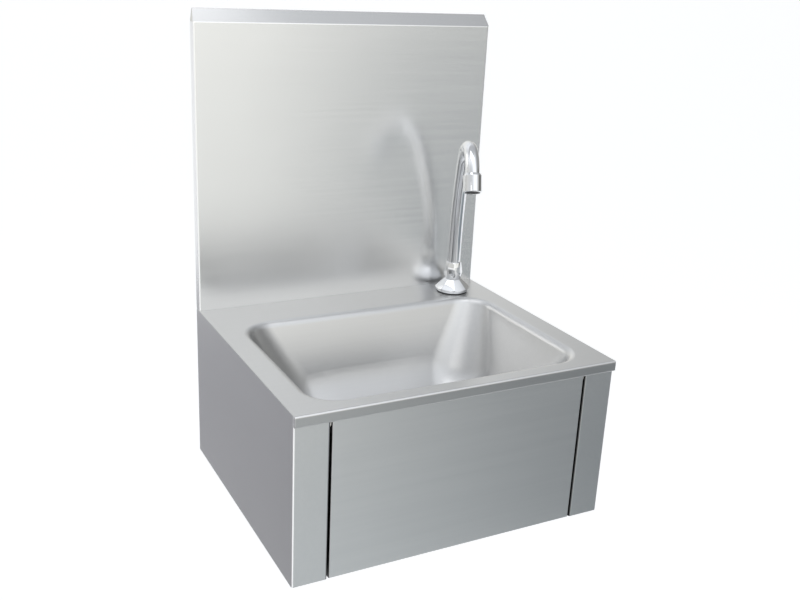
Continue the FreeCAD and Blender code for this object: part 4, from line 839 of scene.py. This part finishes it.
def thread(outer, low, high):
    """A helical ridge with its root sunk in the core."""
    bpy.ops.object.select_all(action="DESELECT")
    bpy.ops.mesh.primitive_circle_add(vertices=3, radius=MM, location=(0, 0, 0))
    ridge = bpy.context.object
    sunk = CORE_R - ROOT_SUNK
    tooth = [(outer, PIPE_PITCH * 0.5), (sunk, 0.0), (sunk, PIPE_PITCH * TOOTH_WIDTH)]
    for vertex, (radius, height) in zip(ridge.data.vertices, tooth):
        vertex.co = (radius * MM, 0, (low + height) * MM)
    turns = int((high - low) / PIPE_PITCH) - 1
    modified(ridge, "SCREW", axis="Z", angle=2 * math.pi, steps=THREAD_STEPS,
             render_steps=THREAD_STEPS, iterations=turns, screw_offset=PIPE_PITCH * MM)
    start_edit()
    bpy.ops.mesh.remove_doubles(threshold=CUT_MERGE)
    bpy.ops.mesh.select_all(action="SELECT")
    bpy.ops.mesh.fill_holes(sides=3)
    bpy.ops.mesh.select_all(action="SELECT")
    bpy.ops.mesh.normals_make_consistent(inside=False)
    bpy.ops.object.mode_set(mode="OBJECT")
    return ridge


for side, node in ((1, "cold_inlet"), (-1, "hot_inlet")):
    hexagon = nut(node + "_hexagon", 24.0, 0.0, 6.0, 7.0)
    tail = turned(node + "_tail", [(CORE_R, 5.9), (CORE_R, 18.6), (8.9, 19.0), (7.0, 19.0),
                                   (7.0, 5.9)])
    whole = joined([hexagon, tail, thread(10.48, 6.4, 18.8)], "threaded_" + node)
    fit(whole, BRASS, node, "cabinet",
        placed((side * INLET_SPREAD, MIXER_Y, HEXAGON_TOP), DOWN))

stem = turned("tap_shank_core", [(9.0, -37.0), (CORE_R, -36.6), (CORE_R, 3.4), (8.0, 4.0),
                                 (8.0, 30.0), (6.1, 30.0), (6.1, -37.0)])
fit(joined([stem, thread(10.4, -36.6, 3.6)], "threaded_tap_shank"), BRASS, "tap_shank", "cabinet",
    placed(TAP_PLACE))

# %% [markdown]
# ## The valve's spring
# A compression spring has closed ends that are ground flat, so each end reads as a ring. Between
# them the wire climbs in even turns, which is again one small circle under a Screw modifier. The
# knee panel pushes the button 9.5 mm in, and the spring shortens by as much; here it is built at
# one length only, with a mesh of its own.

# %% Valve spring
SPRING_R = 8.0
WIRE_R = 0.6
WIRE_SIDES = 14
COIL_STEPS = 60
SPRING_LOW, SPRING_HIGH = -321.8, -306.3    # along Y
TURNS = 4

bpy.ops.object.select_all(action="DESELECT")
bpy.ops.mesh.primitive_circle_add(vertices=WIRE_SIDES, radius=WIRE_R * MM, location=(0, 0, 0),
                                  rotation=(math.pi / 2, 0, 0))
wire = bpy.context.object
bpy.ops.object.transform_apply(location=False, rotation=True, scale=False)
wire.data.transform(Matrix.Translation((SPRING_R * MM, 0, (SPRING_LOW + WIRE_R) * MM)))
climb = (SPRING_HIGH - SPRING_LOW - 2 * WIRE_R) / TURNS
modified(wire, "SCREW", axis="Z", angle=2 * math.pi, steps=COIL_STEPS, render_steps=COIL_STEPS,
         iterations=TURNS, screw_offset=climb * MM)
ends = []
for height in (SPRING_LOW + WIRE_R, SPRING_HIGH - WIRE_R):
    bpy.ops.object.select_all(action="DESELECT")
    bpy.ops.mesh.primitive_torus_add(major_radius=SPRING_R * MM, minor_radius=WIRE_R * MM,
                                     major_segments=COIL_STEPS, minor_segments=WIRE_SIDES,
                                     location=(0, 0, 0))
    ends.append(bpy.context.object)
    ends[-1].data.transform(Matrix.Translation((0, 0, height * MM)))
spring = joined([wire] + ends, "coil_spring")
fit(spring, BRIGHT_STEEL, "valve_spring", "cabinet", placed((0, 0, VALVE_Z), Y),
    smooth=60.0)
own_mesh(spring)

# %% [markdown]
# ## The braided supply hose
# The hose between the valve and the tap is rubber inside a braid of thin steel wires. It is one
# smooth curve from ferrule to ferrule, through the same points as the CAD tube. The braid follows
# the curve, so it reads the curve's own UV: two families of strands wind round it in opposite
# ways, and the higher of the two shows at each spot.

# %% Braid finish
HOSE_R = 0.0055
HOSE_LENGTH = 0.36
STRANDS = 8
# Dark between the strands: painted shade in the weave's crevices.
SHADE_BETWEEN_WIRES = (0.10, 0.10, 0.10)
ON_THE_WIRES = (0.66, 0.66, 0.67)
BRAID_DEPTH = 0.0006


def strands(tree, value):
    """Nought between two strands and one half on top of each."""
    return number(tree, operation="PINGPONG", first=value, second=0.5)


braid, tree, shader = new_finish("steel_braid")
round_hose = own_place(tree, "UV")
squares = HOSE_LENGTH / (2 * math.pi * HOSE_R) * STRANDS
lengthwise = number(tree, operation="MULTIPLY", first=round_hose["X"], second=squares)
round_it = number(tree, operation="MULTIPLY", first=round_hose["Y"], second=STRANDS)
one_way = number(tree, operation="ADD", first=lengthwise, second=round_it)
other_way = number(tree, operation="SUBTRACT", first=lengthwise, second=round_it)
weave = number(tree, operation="MAXIMUM", first=strands(tree, one_way),
               second=strands(tree, other_way))
height = mapped(tree, weave, 0, 1, 0.1, 0.4)
tree.links.new(tinted(tree, height, SHADE_BETWEEN_WIRES, ON_THE_WIRES), shader.inputs["Base Color"])
tree.links.new(mapped(tree, weave, 0.55, 0.28, 0.1, 0.5), shader.inputs["Roughness"])
shader.inputs["Metallic"].default_value = 0.9
bumped(tree, shader, [(weave, BRAID_DEPTH, 0.8)])
print("braid of", 2 * STRANDS, "strands")

# %% Supply hose
HOSE_POINTS = ((0.050, -0.2785, -0.061), (0.093, -0.2785, -0.061), (0.1335, -0.2525, -0.063),
               (0.1485, -0.2005, -0.066), (0.1485, -0.0923, -0.068), (0.1485, -0.0463, -0.022),
               (0.1485, -0.0463, 0.038))

line = bpy.data.curves.new("braided_hose", "CURVE")
line.dimensions = "3D"
spline = line.splines.new("NURBS")
spline.points.add(len(HOSE_POINTS) - 1)
for point, spot in zip(spline.points, HOSE_POINTS):
    point.co = (*spot, 1)
spline.order_u = 3
spline.use_endpoint_u = True
spline.resolution_u = 24
line.bevel_depth = HOSE_R
line.bevel_resolution = 6
line.use_fill_caps = True
line.materials.append(braid)
hose = bpy.data.objects.new("braided_hose", line)
scene.collection.objects.link(hose)
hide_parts("supply_hose")
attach(hose, "cabinet")
print("hose through", len(HOSE_POINTS), "points")
